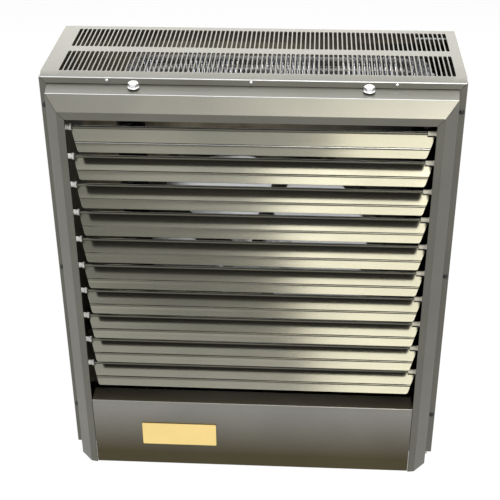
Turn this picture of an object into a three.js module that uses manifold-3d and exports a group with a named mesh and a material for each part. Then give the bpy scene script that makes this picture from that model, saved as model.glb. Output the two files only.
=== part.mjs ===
// Ceiling mounted fan heater: a sheet-metal cabinet with finned elements and an axial fan,
// and a hinged front door that carries ten louvers, each in two nylon bushings.
// Millimetres, +Z up, the front faces -Y.
// The sizes below are measured from the cabinet's top front edge, at its middle.
// The exported group then moves everything so that the origin lies midway between the two
// hanging-rod holes, on the top of the hanger rails.
import * as THREE from "three";
import { mergeVertices } from "three/addons/utils/BufferGeometryUtils.js";
import Module from "manifold-3d";

const wasm = await Module();
wasm.setup();

// ---------------------------------------------------------------- driving dimensions

const GAP = 0.3; // clearance between pieces that touch

// cabinet
const CABINET_WIDTH = 355.6;
const CABINET_HEIGHT = 393.7;
const CABINET_DEPTH = 120.65;
const SHEET = 1.2;
const TOP_FRONT_FLANGE = 6;
const TOP_REAR_FLANGE = 12;
const SIDE_FRONT_FLANGE = 6.9;
const SIDE_REAR_FLANGE = 12;
const BOTTOM_FRONT_FLANGE = 12;

// slots in the top panel, in two rows that run side to side
const SLOTS_PER_ROW = 82;
const SLOT_PITCH = 4.06;
const SLOT_WIDTH = 3;
const SLOT_SHIFT = 3; // middle of the rows, right of the panel's middle
const SLOT_FRONT_MARGIN = 12.8;
const SLOT_FRONT_LENGTH = 45.2; // of the front row
const SLOT_BAR = 11.5; // solid strip between the rows
const SLOT_REAR_MARGIN = 7.15;

// door frame: a mitred head and two stiles, with a wide bevel outside a narrow front face
const DOOR_SHEET = 1;
const DOOR_TOP_DROP = 6.5; // top of the door below the top of the cabinet
const DOOR_SIDE_INSET = 6.6; // side of the door in from the side of the cabinet
const DOOR_REAR_GAP = 0.5; // back edge of the door's sides to the cabinet's front
const DOOR_SIDE_DEPTH = 17.7;
const BEVEL_WIDTH = 12.6;
const FACE_WIDTH = 6.6;
const DOOR_DEPTH = 30.5;

// lower panel of the door
const LOWER_PANEL_HEIGHT = 77.2;
const LOWER_PANEL_RETURN = 19;
const LOWER_PANEL_SIDE_GAP = 0.45;

// nameplate, left blank
const PLATE_WIDTH = 71;
const PLATE_HEIGHT = 25.2;
const PLATE_THICKNESS = 0.6;
const PLATE_INSET = 47; // in from the left edge of the door's opening
const PLATE_DROP = 26; // top of the plate below the top of the lower panel

// louvers
const LOUVER_COUNT = 10;
const LOUVER_BELOW_HEAD = 12.4; // first pivot below the door's head
const LOUVER_ABOVE_PANEL = 34.32; // last pivot above the lower panel
const LOUVER_PIVOT_DEPTH = 17; // pivots in front of the cabinet
const LOUVER_CHORD = 21;
const LOUVER_SHEET = 0.8;
const FIRST_LOUVER_TILT_DEG = 35; // from straight down, lower edge forward
const LOUVER_TILT_DEG = 46; // of the others
const LOUVER_LEFT_TAPER = 6.1; // how much the left end draws in down to the lower edge
const LOUVER_RIGHT_TAPER = 6.7;
const LOUVER_CORNER = 1.6;
const LOUVER_RIGHT_TAB = 6.3; // the blade below the roll reaches past the roll's right end
const LOUVER_TAB_GAP = 0.35; // from the collar up to that part of the blade
const ROLL_RADIUS = 1.5;
const CREASE_AT = 13.2; // distance of the stiffening bead from the pivot
const CREASE_HALF_WIDTH = 1.1;
const CREASE_HEIGHT = 0.9;
const PIN_RADIUS = 1.1;
const PIN_BEYOND_CARRIER = 0.6;

// louver carriers and bushings
const CARRIER_SHEET = 1;
const CARRIER_INSET = 1; // web in from the outer edge of the door's front face
const CARRIER_FLANGE = 5;
const CARRIER_REAR = 8; // back edge in front of the cabinet
const CARRIER_END_GAP = 2.4;
const PIN_CLEARANCE = 0.3; // in the bushing's bore
const BUSHING_WALL = 0.75;
const BUSHING_CLEARANCE = 0.45; // in the carrier's hole
const BUSHING_BARREL = 5.1; // barrel that shows between the carrier and the collar
const COLLAR_LIP = 0.6;
const LEFT_COLLAR_LENGTH = 1.9;
const RIGHT_COLLAR_LENGTH = 5.4;
const LOUVER_END_GAP = 0.4; // between a bushing's collar and the louver's roll
const SNAP_RING_LENGTH = 1.1;

// door screws, catch rail and hinge
const SCREW_HALF_SPACING = 97;
const SCREW_SETBACK = 6; // screw axis in front of the cabinet
const SCREW_HEX_FLATS = 8;
const SCREW_HEX_HEIGHT = 3;
const SCREW_WASHER_RADIUS = 5;
const SCREW_WASHER_HEIGHT = 1;
const SCREW_SHANK_RADIUS = 2.1;
const SCREW_SHANK_LENGTH = 6;
const SCREW_HOLE_CLEARANCE = 0.5;
const CATCH_SHEET = 1;
const CATCH_TAB_WIDTH = 18;
const CATCH_TAB_BEYOND_SCREW = 6;
const CATCH_TAB_GAP = 0.8; // below the door's top flange
const CATCH_SLOT_CLEARANCE = 0.7; // round the screw's shank
const CATCH_WEB_HEIGHT = 22;
const CATCH_SIDE_INSET = 13.8;
const HINGE_SETBACK = 6; // hinge axis in front of the cabinet
const HINGE_PIN_RADIUS = 1.5;
const HINGE_PIN_CLEARANCE = 0.4;
const HINGE_EAR_RADIUS = 4.4;
const HINGE_EAR_SHEET = 1.2;
const HINGE_EAR_GAP = 0.5;
const HINGE_PIN_PROUD = 0.8;
const HINGE_SWING_GAP = 0.6; // the stile's rounded lower rear corner to the cabinet

// fan, orifice and motor
const ORIFICE_ABOVE_BOTTOM = 24.7; // lowest point of the orifice above the cabinet's bottom
const FAN_OFFSET = -6; // fan axis beside the middle of the cabinet
const FAN_RADIUS = 124;
const FAN_BLADES = 5;
const FAN_FIRST_BLADE_DEG = 112;
const FAN_BEFORE_BACK = 26.65; // front of the fan ahead of the cabinet's back
const FAN_AXIAL_DEPTH = 15;
const FAN_BLADE_SHEET = 1.4;
// A blade's edges in degrees on both sides of its middle, at shares of the way from the hub
// to the tip.
const FAN_BLADE_EDGES = [
  { reach: 0, lower: 20, upper: 20 },
  { reach: 0.35, lower: 27, upper: 27 },
  { reach: 0.66, lower: 35, upper: 27.5 },
  { reach: 0.87, lower: 31, upper: 26 },
  { reach: 0.955, lower: 22, upper: 22 },
  { reach: 1, lower: 9, upper: 14 },
];
const FAN_HUB_RADIUS = 20;
const FAN_HUB_LENGTH = 14;
const ORIFICE_CLEARANCE = 7;
const SHAFT_RADIUS = 4;
const SHAFT_ENTRY = 10; // length of shaft inside the motor
const MOTOR_RADIUS = 41;
const MOTOR_BEHIND_FAN = 4.5;
const MOTOR_LENGTH = 41;
const MOTOR_NOSE_RADIUS = 16;
const MOTOR_NOSE_LENGTH = 4;

// rear cover: a slotted pan behind the orifice that carries the motor
const COVER_SHEET = 1.2;
const COVER_BEYOND_ORIFICE = 9;
const COVER_SLOT_HEIGHT = 12;
const COVER_SLOT_LENGTH = 36;
const COVER_SLOT_SPACING = 47;
const COVER_COLUMNS = 6;
const COVER_ROWS = 8;
const COVER_ROW_PITCH = 32.7;
const COVER_FIRST_ROW_DROP = 33.7; // middle of the first row below the top of the cover
const COVER_MOTOR_MARGIN = 4; // solid sheet round the motor

// heating elements: finned tubes bent to an inverted U
const ELEMENT_NAMES = ["front", "middle", "rear"];
const ELEMENT_BEFORE_FAN = 4.5; // rear element's fins ahead of the fan
const ELEMENT_SPACING = 3; // between the fins of two elements
const ELEMENT_FIN_RADIUS = 9.5;
const ELEMENT_SHEATH_RADIUS = 4;
const ELEMENT_SIDE_INSET = 45.8; // legs in from the side of the cabinet
const ELEMENT_SHIFT = 20; // middle of the elements, right of the cabinet's middle
const ELEMENT_TOP_DROP = 15;
const ELEMENT_BEND_RADIUS = 24;
const ELEMENT_BEND_STEPS = 6;
const ELEMENT_FIN_END_RISE = 14; // fins stop this far above the divider
const ELEMENT_LEG = 12; // plain leg below the divider
const ELEMENT_HOLE_CLEARANCE = 0.8;

// divider and the parts of the control compartment
const DIVIDER_BELOW_OPENING = 2; // below the top of the door's lower panel
const DIVIDER_BEFORE_FAN = 6; // its rear wall ahead of the fan
const CONDUIT_HOLE_RADIUS = 11;
const CONDUIT_HOLE_INSET = 36;
const CONDUIT_HOLE_SETBACK = 60;
const BASE_GAP = 0.3; // between a control and the panel that it sits on
const CONTACTOR = { x: -92, width: 56, depth: 48, height: 50, deckDrop: 15, deckInset: 5 };
const TRANSFORMER = { x: -20, width: 44, depth: 40, height: 38 };
const TRANSFORMER_FOOT = { reach: 6, height: 2 };
const TRANSFORMER_CORE_INSET = 8; // core in from the front and rear of the winding
const TRANSFORMER_WINDING_INSET = { side: 9, end: 8 };
const RELAY = { x: 38, width: 30, depth: 34, height: 30, deckDrop: 6, deckInset: 4 };
const TERMINAL = { x: 90, width: 48, depth: 22, height: 24, deck: 13, wall: 2.4, poles: 4 };
const CONTROL_SETBACK = 34; // front of the controls behind the cabinet's front
const CUTOUT_FROM_LEG = 48; // beside the middle element's right leg
const CUTOUT_RADIUS = 9;
const CUTOUT_HEIGHT = 8;
const CUTOUT_FLANGE = { length: 30, width: 10, height: 1 };

// hanger rails on the back
const RAIL_SIDE_INSET = 2.8; // in from the side of the cabinet
const RAIL_WIDTH = 28;
const RAIL_BEHIND_MOTOR = 4.15; // back of the rail behind the motor
const RAIL_SHEET = 1.6;
const RAIL_TOP_DROP = 24;
const RAIL_BOTTOM_RISE = 15.7;
const ROD_HOLE_RADIUS = 5.2;
const WALL_HOLE_RADIUS = 3.6;
const WALL_HOLE_INSETS = { top: 46, bottom: 48 }; // in from the ends of the rail

// ---------------------------------------------------------------- sizes worked out

const HALF_WIDTH = CABINET_WIDTH / 2;

// slots
const SLOT_BAR_FRONT = SLOT_FRONT_MARGIN + SLOT_FRONT_LENGTH;
const SLOT_ROWS = [
  { front: SLOT_FRONT_MARGIN, rear: SLOT_BAR_FRONT },
  { front: SLOT_BAR_FRONT + SLOT_BAR, rear: CABINET_DEPTH - SLOT_REAR_MARGIN },
];

// door
const DOOR_BOTTOM = -CABINET_HEIGHT;
const DOOR_HALF_WIDTH = HALF_WIDTH - DOOR_SIDE_INSET;
const FACE_OUTER = DOOR_HALF_WIDTH - BEVEL_WIDTH;
const FACE_INNER = FACE_OUTER - FACE_WIDTH;
const HEAD_INNER = -(DOOR_TOP_DROP + BEVEL_WIDTH + FACE_WIDTH);
const LOWER_PANEL_TOP = DOOR_BOTTOM + LOWER_PANEL_HEIGHT;
const SCREW_HOLE_RADIUS = SCREW_SHANK_RADIUS + SCREW_HOLE_CLEARANCE;
const CATCH_TAB_REACH = SCREW_SETBACK + CATCH_TAB_BEYOND_SCREW;
const CATCH_SLOT_WIDTH = 2 * (SCREW_SHANK_RADIUS + CATCH_SLOT_CLEARANCE);
const CATCH_HALF_WIDTH = HALF_WIDTH - CATCH_SIDE_INSET;

// hinge
const HINGE_Y = -HINGE_SETBACK;
const HINGE_Z = DOOR_BOTTOM + HINGE_EAR_RADIUS + GAP;
const HINGE_HOLE_RADIUS = HINGE_PIN_RADIUS + HINGE_PIN_CLEARANCE;
const HINGE_SWING_RADIUS = HINGE_SETBACK - HINGE_SWING_GAP;

// louvers, bushings and carriers
const LOUVER_FIRST_DROP = LOUVER_BELOW_HEAD - HEAD_INNER;
const LOUVER_LAST_DROP = -LOWER_PANEL_TOP - LOUVER_ABOVE_PANEL;
const LOUVER_PITCH = (LOUVER_LAST_DROP - LOUVER_FIRST_DROP) / (LOUVER_COUNT - 1);
const CARRIER_OUTER = FACE_OUTER - CARRIER_INSET;
const COLLAR_OUTER = CARRIER_OUTER - CARRIER_SHEET - BUSHING_BARREL;
const COLLAR_INNER = {
  left: COLLAR_OUTER - LEFT_COLLAR_LENGTH,
  right: COLLAR_OUTER - RIGHT_COLLAR_LENGTH,
};
const ROLL_LEFT = -(COLLAR_INNER.left - LOUVER_END_GAP);
const ROLL_RIGHT = COLLAR_INNER.right - LOUVER_END_GAP;
const PIN_HALF_LENGTH = CARRIER_OUTER + PIN_BEYOND_CARRIER;
const BUSHING_BORE_RADIUS = PIN_RADIUS + PIN_CLEARANCE;
const BUSHING_RADIUS = BUSHING_BORE_RADIUS + BUSHING_WALL;
const BUSHING_HOLE_RADIUS = BUSHING_RADIUS + BUSHING_CLEARANCE;
const COLLAR_RADIUS = BUSHING_RADIUS + COLLAR_LIP;

// fan and motor
const ORIFICE_RADIUS = FAN_RADIUS + ORIFICE_CLEARANCE;
const FAN_DROP = CABINET_HEIGHT - ORIFICE_ABOVE_BOTTOM - ORIFICE_RADIUS;
const FAN_CENTRE = [FAN_OFFSET, -FAN_DROP];
const FAN_FRONT = CABINET_DEPTH - FAN_BEFORE_BACK;
const MOTOR_FRONT = FAN_FRONT + FAN_AXIAL_DEPTH + MOTOR_BEHIND_FAN;
const MOTOR_REAR = MOTOR_FRONT + MOTOR_LENGTH;

// divider
const DIVIDER_DROP = DIVIDER_BELOW_OPENING - LOWER_PANEL_TOP;
const DIVIDER_REAR = FAN_FRONT - DIVIDER_BEFORE_FAN;

// heating elements, from the rear one forward
const ELEMENT_PITCH = 2 * ELEMENT_FIN_RADIUS + ELEMENT_SPACING;
const ELEMENT_LAST_SETBACK = FAN_FRONT - ELEMENT_BEFORE_FAN - ELEMENT_FIN_RADIUS;
const ELEMENT_FIRST_SETBACK =
  ELEMENT_LAST_SETBACK - (ELEMENT_NAMES.length - 1) * ELEMENT_PITCH;
const ELEMENT_HALF_SPAN = HALF_WIDTH - ELEMENT_SIDE_INSET;
const ELEMENT_HOLE_RADIUS = ELEMENT_SHEATH_RADIUS + ELEMENT_HOLE_CLEARANCE;

// hanger rails
const RAIL_OUTER = HALF_WIDTH - RAIL_SIDE_INSET;
const RAIL_INNER = RAIL_OUTER - RAIL_WIDTH;
const RAIL_MIDDLE = RAIL_OUTER - RAIL_WIDTH / 2;
const RAIL_REAR = MOTOR_REAR + RAIL_BEHIND_MOTOR;
const RAIL_BOTTOM_DROP = CABINET_HEIGHT - RAIL_BOTTOM_RISE;
const WALL_HOLE_DROPS = [
  RAIL_TOP_DROP + WALL_HOLE_INSETS.top,
  RAIL_BOTTOM_DROP - WALL_HOLE_INSETS.bottom,
];
const ORIGIN = [0, (CABINET_DEPTH + RAIL_REAR) / 2, -RAIL_TOP_DROP];

// rear cover, between the rails
const COVER_HALF_WIDTH = RAIL_INNER - GAP;
const COVER_HALF_HEIGHT = ORIFICE_RADIUS + COVER_BEYOND_ORIFICE;
const COVER_REAR = MOTOR_REAR + GAP + COVER_SHEET;

// ---------------------------------------------------------------- finishes

const finish = (color, roughness, metalness) => () =>
  new THREE.MeshStandardMaterial({ color, roughness, metalness });
const bronzePaint = finish(0x8c887c, 0.4, 0.4);
const galvanised = finish(0xb8bbbd, 0.45, 0.8);
const aluminium = finish(0xd6d8da, 0.3, 0.9);
const elementSteel = finish(0xa4a6a8, 0.4, 0.8);
const goldPlate = finish(0xf4cf78, 0.35, 0.7);
const zinc = finish(0xe4e6e6, 0.35, 0.7);
const nylon = finish(0xf2f0ea, 0.5, 0);
const blackPaint = finish(0x1c1d1e, 0.5, 0.3);
const darkPlastic = finish(0x2c2d30, 0.55, 0);

// ---------------------------------------------------------------- solids

const solid = (geometry) => {
  geometry.deleteAttribute("normal");
  geometry.deleteAttribute("uv");
  const merged = mergeVertices(geometry, 1e-4);
  return new wasm.Manifold(
    new wasm.Mesh({
      numProp: 3,
      vertProperties: new Float32Array(merged.attributes.position.array),
      triVerts: new Uint32Array(merged.index.array),
    }),
  );
};

const geometryOf = (made) => {
  const { numProp, vertProperties, triVerts, numVert } = made.getMesh();
  const points = new Float32Array(numVert * 3);
  for (let i = 0; i < numVert; i++) {
    points.set(vertProperties.subarray(i * numProp, i * numProp + 3), i * 3);
  }
  const geometry = new THREE.BufferGeometry();
  geometry.setAttribute("position", new THREE.BufferAttribute(points, 3));
  geometry.setIndex(new THREE.BufferAttribute(triVerts, 1));
  return geometry;
};

const box = (x0, x1, y0, y1, z0, z1) =>
  solid(
    new THREE.BoxGeometry(x1 - x0, y1 - y0, z1 - z0).translate(
      (x0 + x1) / 2,
      (y0 + y1) / 2,
      (z0 + z1) / 2,
    ),
  );

// A rod along the axis "x", "y" or "z", from one place on that axis to another, centred on
// the other two coordinates.
const rod = (axis, radius, from, to, centre, sides = 16) => {
  const geometry = new THREE.CylinderGeometry(radius, radius, to - from, sides);
  const middle = (from + to) / 2;
  if (axis === "x") {
    geometry.rotateZ(-Math.PI / 2).translate(middle, centre[0], centre[1]);
  } else if (axis === "y") {
    geometry.translate(centre[0], middle, centre[1]);
  } else {
    geometry.rotateX(Math.PI / 2).translate(centre[0], centre[1], middle);
  }
  return solid(geometry);
};

// A prism along X from an outline of [y, z] points.
const prismAlongX = (outline, from, to) =>
  solid(
    new THREE.ExtrudeGeometry(
      new THREE.Shape(outline.map(([y, z]) => new THREE.Vector2(y, z))),
      { depth: to - from, bevelEnabled: false, steps: 1 },
    )
      .rotateZ(Math.PI / 2)
      .rotateY(Math.PI / 2)
      .translate(from, 0, 0),
  );

// A closed skin over rings of points that follow one another. Each end is closed by the
// triangles given for a ring.
const loft = (rings, cap) => {
  const size = rings[0].length;
  const indices = [];
  for (let ring = 0; ring < rings.length - 1; ring++) {
    for (let i = 0; i < size; i++) {
      const a = ring * size + i;
      const b = ring * size + ((i + 1) % size);
      indices.push(a, b, a + size, b, b + size, a + size);
    }
  }
  const last = (rings.length - 1) * size;
  cap.forEach(([a, b, c]) => {
    indices.push(a, c, b, last + a, last + b, last + c);
  });
  const geometry = new THREE.BufferGeometry();
  geometry.setAttribute("position", new THREE.Float32BufferAttribute(rings.flat(2), 3));
  geometry.setIndex(indices);
  const made = solid(geometry);
  if (made.volume() > 0) return made;
  for (let i = 0; i < indices.length; i += 3) {
    [indices[i + 1], indices[i + 2]] = [indices[i + 2], indices[i + 1]];
  }
  geometry.setIndex(indices);
  return solid(geometry);
};

const outlineCap = (outline) => {
  const triangles = THREE.ShapeUtils.triangulateShape(outline, []);
  return THREE.ShapeUtils.isClockWise(outline)
    ? triangles.map(([a, b, c]) => [a, c, b])
    : triangles;
};

// The cap of a ring that runs out along one side of a strip and back along the other.
const stripCap = (size) => {
  const triangles = [];
  for (let i = 0; i < size / 2 - 1; i++) {
    const across = size - 1 - i;
    triangles.push([i, i + 1, across], [i + 1, across - 1, across]);
  }
  return triangles;
};

const circleOutline = (radius, sides) =>
  Array.from({ length: sides }, (_, i) => {
    const angle = (i / sides) * Math.PI * 2;
    return new THREE.Vector2(radius * Math.cos(angle), radius * Math.sin(angle));
  });

const joined = (solids) => solids.reduce((all, next) => all.add(next));

// ---------------------------------------------------------------- the scene graph

const heater = new THREE.Group();
const assembly = new THREE.Group();
assembly.position.set(-ORIGIN[0], -ORIGIN[1], -ORIGIN[2]);
heater.add(assembly);

const place = (name, made, material) => {
  const mesh = new THREE.Mesh(geometryOf(made), material());
  mesh.name = name;
  assembly.add(mesh);
  return mesh;
};

const SIDES = [
  { name: "left", sign: -1 },
  { name: "right", sign: 1 },
];
// A box on one side of the middle, its X given as distances out from the middle.
const sideBox = (sign, inner, outer, y0, y1, z0, z1) =>
  box(Math.min(sign * inner, sign * outer), Math.max(sign * inner, sign * outer), y0, y1, z0, z1);
const sideRod = (sign, radius, inner, outer, centre, sides) =>
  rod(
    "x",
    radius,
    Math.min(sign * inner, sign * outer),
    Math.max(sign * inner, sign * outer),
    centre,
    sides,
  );

// ---------------------------------------------------------------- cabinet

function topPanel() {
  const slots = [];
  for (const row of SLOT_ROWS) {
    for (let i = 0; i < SLOTS_PER_ROW; i++) {
      const middle = SLOT_SHIFT + (i - (SLOTS_PER_ROW - 1) / 2) * SLOT_PITCH;
      const left = middle - SLOT_WIDTH / 2;
      slots.push(box(left, left + SLOT_WIDTH, row.front, row.rear, -SHEET - 1, 1));
    }
  }
  const plate = box(-HALF_WIDTH, HALF_WIDTH, 0, CABINET_DEPTH, -SHEET, 0);
  const rearInset = SHEET + GAP;
  return joined([
    plate,
    box(-HALF_WIDTH, HALF_WIDTH, 0, SHEET, -TOP_FRONT_FLANGE, -SHEET / 2),
    box(
      -HALF_WIDTH + rearInset,
      HALF_WIDTH - rearInset,
      CABINET_DEPTH - 2 * SHEET - GAP,
      CABINET_DEPTH - SHEET - GAP,
      -TOP_REAR_FLANGE,
      -SHEET / 2,
    ),
  ]).subtract(joined(slots));
}

function sidePanel(sign) {
  const top = -SHEET - GAP;
  const inner = HALF_WIDTH - SHEET;
  return joined([
    sideBox(sign, inner, HALF_WIDTH, SHEET + GAP, CABINET_DEPTH, -CABINET_HEIGHT, top),
    sideBox(sign, inner, HALF_WIDTH, 0, 2 * SHEET, -CABINET_HEIGHT, -TOP_FRONT_FLANGE - GAP),
    sideBox(
      sign,
      HALF_WIDTH - SIDE_FRONT_FLANGE,
      HALF_WIDTH,
      0,
      SHEET,
      -CABINET_HEIGHT,
      -TOP_FRONT_FLANGE - GAP,
    ),
    sideBox(
      sign,
      HALF_WIDTH - SIDE_REAR_FLANGE,
      HALF_WIDTH,
      CABINET_DEPTH - SHEET,
      CABINET_DEPTH,
      -CABINET_HEIGHT,
      top,
    ),
  ]);
}

// The bottom has a flange up behind the door, and an ear with a riveted pin at each end.
function bottomPanel() {
  const half = HALF_WIDTH - SHEET - GAP;
  const flangeHalf = HALF_WIDTH - SIDE_FRONT_FLANGE - GAP;
  const floor = -CABINET_HEIGHT;
  const rear = CABINET_DEPTH - SHEET - GAP;
  const parts = [
    box(-half, half, SHEET + GAP, rear, floor, floor + SHEET),
    box(-flangeHalf, flangeHalf, 0, 2 * SHEET, floor, floor + SHEET),
    box(-flangeHalf, flangeHalf, 0, SHEET, floor, floor + BOTTOM_FRONT_FLANGE),
  ];
  const earOuter = DOOR_HALF_WIDTH - DOOR_SHEET - HINGE_EAR_GAP;
  const earInner = earOuter - HINGE_EAR_SHEET;
  for (const { sign } of SIDES) {
    parts.push(
      sideBox(
        sign,
        earInner,
        earOuter,
        HINGE_Y,
        SHEET,
        HINGE_Z - HINGE_EAR_RADIUS + GAP,
        HINGE_Z + HINGE_EAR_RADIUS,
      ),
      sideRod(sign, HINGE_EAR_RADIUS, earInner, earOuter, [HINGE_Y, HINGE_Z]),
      sideRod(
        sign,
        HINGE_PIN_RADIUS,
        earInner - HINGE_PIN_PROUD,
        DOOR_HALF_WIDTH + HINGE_PIN_PROUD,
        [HINGE_Y, HINGE_Z],
        12,
      ),
    );
  }
  return joined(parts).subtract(
    rod("z", CONDUIT_HOLE_RADIUS, floor - 1, floor + SHEET + 1, [
      HALF_WIDTH - CONDUIT_HOLE_INSET,
      CONDUIT_HOLE_SETBACK,
    ]),
  );
}

function backPanel() {
  const half = HALF_WIDTH - SIDE_REAR_FLANGE - GAP;
  const rear = CABINET_DEPTH;
  const front = rear - SHEET;
  const plate = box(-half, half, front, rear, -CABINET_HEIGHT, -SHEET - GAP);
  return plate.subtract(rod("y", ORIFICE_RADIUS, front - 1, rear + 1, FAN_CENTRE, 44));
}

// A shelf over the controls, with a wall down behind them that keeps them off the fan.
function dividerPlate() {
  const half = HALF_WIDTH - SHEET - GAP;
  const top = -DIVIDER_DROP;
  const floor = -CABINET_HEIGHT + SHEET + GAP;
  let plate = joined([
    box(-half, half, SHEET + GAP, DIVIDER_REAR, top - SHEET, top),
    box(-half, half, DIVIDER_REAR - SHEET, DIVIDER_REAR, floor, top - SHEET / 2),
  ]);
  ELEMENT_NAMES.forEach((_, i) => {
    for (const { sign } of SIDES) {
      const x = ELEMENT_SHIFT + sign * ELEMENT_HALF_SPAN;
      const centre = [x, ELEMENT_FIRST_SETBACK + i * ELEMENT_PITCH];
      const hole = rod(
        "z",
        ELEMENT_HOLE_RADIUS,
        -DIVIDER_DROP - SHEET - 1,
        -DIVIDER_DROP + 1,
        centre,
        12,
      );
      plate = plate.subtract(hole);
    }
  });
  return plate;
}

// An angle behind the top flange, with two tabs that reach under the door's top flange.
// Each tab is slotted open to the front, so that the loosened screw slides out with the door.
function catchRail() {
  const front = SHEET + GAP;
  const rear = front + CATCH_SHEET;
  const tabTop = -DOOR_TOP_DROP - DOOR_SHEET - CATCH_TAB_GAP;
  const top = -SHEET - GAP;
  let rail = box(-CATCH_HALF_WIDTH, CATCH_HALF_WIDTH, front, rear, top - CATCH_WEB_HEIGHT, top);
  for (const { sign } of SIDES) {
    const x = sign * SCREW_HALF_SPACING;
    const tab = box(
      x - CATCH_TAB_WIDTH / 2,
      x + CATCH_TAB_WIDTH / 2,
      -CATCH_TAB_REACH,
      rear,
      tabTop - CATCH_SHEET,
      tabTop,
    );
    const slot = box(
      x - CATCH_SLOT_WIDTH / 2,
      x + CATCH_SLOT_WIDTH / 2,
      -CATCH_TAB_REACH - 1,
      -SCREW_SETBACK + CATCH_SLOT_WIDTH / 2,
      tabTop - CATCH_SHEET - 1,
      tabTop + 1,
    );
    rail = rail.add(tab.subtract(slot));
  }
  return rail;
}

// ---------------------------------------------------------------- hanger rails

// A channel with its web at the back and a closed top, for hanging rods or wall screws.
function hangerRail(sign) {
  const front = CABINET_DEPTH + GAP;
  const bottom = -RAIL_BOTTOM_DROP;
  const top = -RAIL_TOP_DROP;
  const block = sideBox(sign, RAIL_INNER, RAIL_OUTER, front, RAIL_REAR, bottom, top);
  const hollow = sideBox(
    sign,
    RAIL_INNER + RAIL_SHEET,
    RAIL_OUTER - RAIL_SHEET,
    front - 1,
    RAIL_REAR - RAIL_SHEET,
    bottom - 1,
    top - RAIL_SHEET,
  );
  const x = sign * RAIL_MIDDLE;
  const rodHole = rod("z", ROD_HOLE_RADIUS, top - RAIL_SHEET - 1, top + 1, [x, ORIGIN[1]]);
  let rail = block.subtract(hollow).subtract(rodHole);
  const webFront = RAIL_REAR - RAIL_SHEET;
  for (const drop of WALL_HOLE_DROPS) {
    const hole = rod("y", WALL_HOLE_RADIUS, webFront - 1, RAIL_REAR + 1, [x, -drop], 12);
    rail = rail.subtract(hole);
  }
  return rail;
}

// ---------------------------------------------------------------- fan, motor and cover

// One pitched blade: a grid over radius and angle, with its own thickness along the axis.
function fanBlade(centreDeg) {
  const root = FAN_HUB_RADIUS - 2;
  const steps = 5;
  const rings = FAN_BLADE_EDGES.map(({ reach, lower, upper }) => {
    const radius = root + reach * (FAN_RADIUS - root);
    const edge = (side) =>
      Array.from({ length: steps + 1 }, (_, i) => {
        const share = side > 0 ? i / steps : 1 - i / steps;
        const turn = share * (lower + upper) - lower;
        const angle = THREE.MathUtils.degToRad(centreDeg + turn);
        const pitch = (share - 0.5) * (FAN_AXIAL_DEPTH - FAN_BLADE_SHEET);
        const y = FAN_FRONT + FAN_AXIAL_DEPTH / 2 + pitch + (side * FAN_BLADE_SHEET) / 2;
        return [
          radius * Math.cos(angle) + FAN_CENTRE[0],
          y,
          radius * Math.sin(angle) + FAN_CENTRE[1],
        ];
      });
    return [...edge(1), ...edge(-1)];
  });
  return loft(rings, stripCap(rings[0].length));
}

function fanBladeAssembly() {
  const hubFront = FAN_FRONT + (FAN_AXIAL_DEPTH - FAN_HUB_LENGTH) / 2;
  const parts = [
    rod("y", FAN_HUB_RADIUS, hubFront, hubFront + FAN_HUB_LENGTH, FAN_CENTRE, 20),
    rod("y", SHAFT_RADIUS, hubFront - 3, MOTOR_FRONT + SHAFT_ENTRY, FAN_CENTRE, 12),
  ];
  for (let i = 0; i < FAN_BLADES; i++) {
    parts.push(fanBlade(FAN_FIRST_BLADE_DEG + (i * 360) / FAN_BLADES));
  }
  return joined(parts);
}

function fanMotor() {
  const bodyFront = MOTOR_FRONT + MOTOR_NOSE_LENGTH;
  const bore = SHAFT_RADIUS + GAP * 2;
  return joined([
    rod("y", MOTOR_NOSE_RADIUS, MOTOR_FRONT, bodyFront + 1, FAN_CENTRE, 20),
    rod("y", MOTOR_RADIUS, bodyFront, MOTOR_REAR, FAN_CENTRE, 28),
  ]).subtract(
    rod("y", bore, MOTOR_FRONT - 1, MOTOR_FRONT + SHAFT_ENTRY + 1, FAN_CENTRE, 12),
  );
}

// Whether a slot of the rear cover would run under the motor.
function meetsMotor(x, z) {
  const aside = Math.max(Math.abs(x - FAN_CENTRE[0]) - COVER_SLOT_LENGTH / 2, 0);
  const above = Math.max(Math.abs(z - FAN_CENTRE[1]) - COVER_SLOT_HEIGHT / 2, 0);
  return Math.hypot(aside, above) < MOTOR_RADIUS + COVER_MOTOR_MARGIN;
}

// A pan with rows of slots in its back and one row in its top and in its bottom. Its sides
// are closed by the rails.
function rearCover() {
  const half = COVER_HALF_WIDTH;
  const front = CABINET_DEPTH + GAP;
  const top = FAN_CENTRE[1] + COVER_HALF_HEIGHT;
  const bottom = FAN_CENTRE[1] - COVER_HALF_HEIGHT;
  const back = COVER_REAR - COVER_SHEET;
  const slots = [];
  const middle = (front + COVER_REAR) / 2;
  for (let column = 0; column < COVER_COLUMNS; column++) {
    const x = (column - (COVER_COLUMNS - 1) / 2) * COVER_SLOT_SPACING;
    const left = x - COVER_SLOT_LENGTH / 2;
    const right = x + COVER_SLOT_LENGTH / 2;
    const reach = COVER_SLOT_HEIGHT / 2;
    for (const z of [top, bottom]) {
      slots.push(box(left, right, middle - reach, middle + reach, z - 2, z + 2));
    }
    for (let row = 0; row < COVER_ROWS; row++) {
      const z = top - COVER_FIRST_ROW_DROP - row * COVER_ROW_PITCH;
      if (meetsMotor(x, z)) continue;
      slots.push(box(left, right, back - 1, COVER_REAR + 1, z - reach, z + reach));
    }
  }
  return joined([
    box(-half, half, back, COVER_REAR, bottom, top),
    box(-half, half, front, COVER_REAR, top - COVER_SHEET, top),
    box(-half, half, front, COVER_REAR, bottom, bottom + COVER_SHEET),
  ]).subtract(joined(slots));
}

// ---------------------------------------------------------------- heating elements

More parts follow.
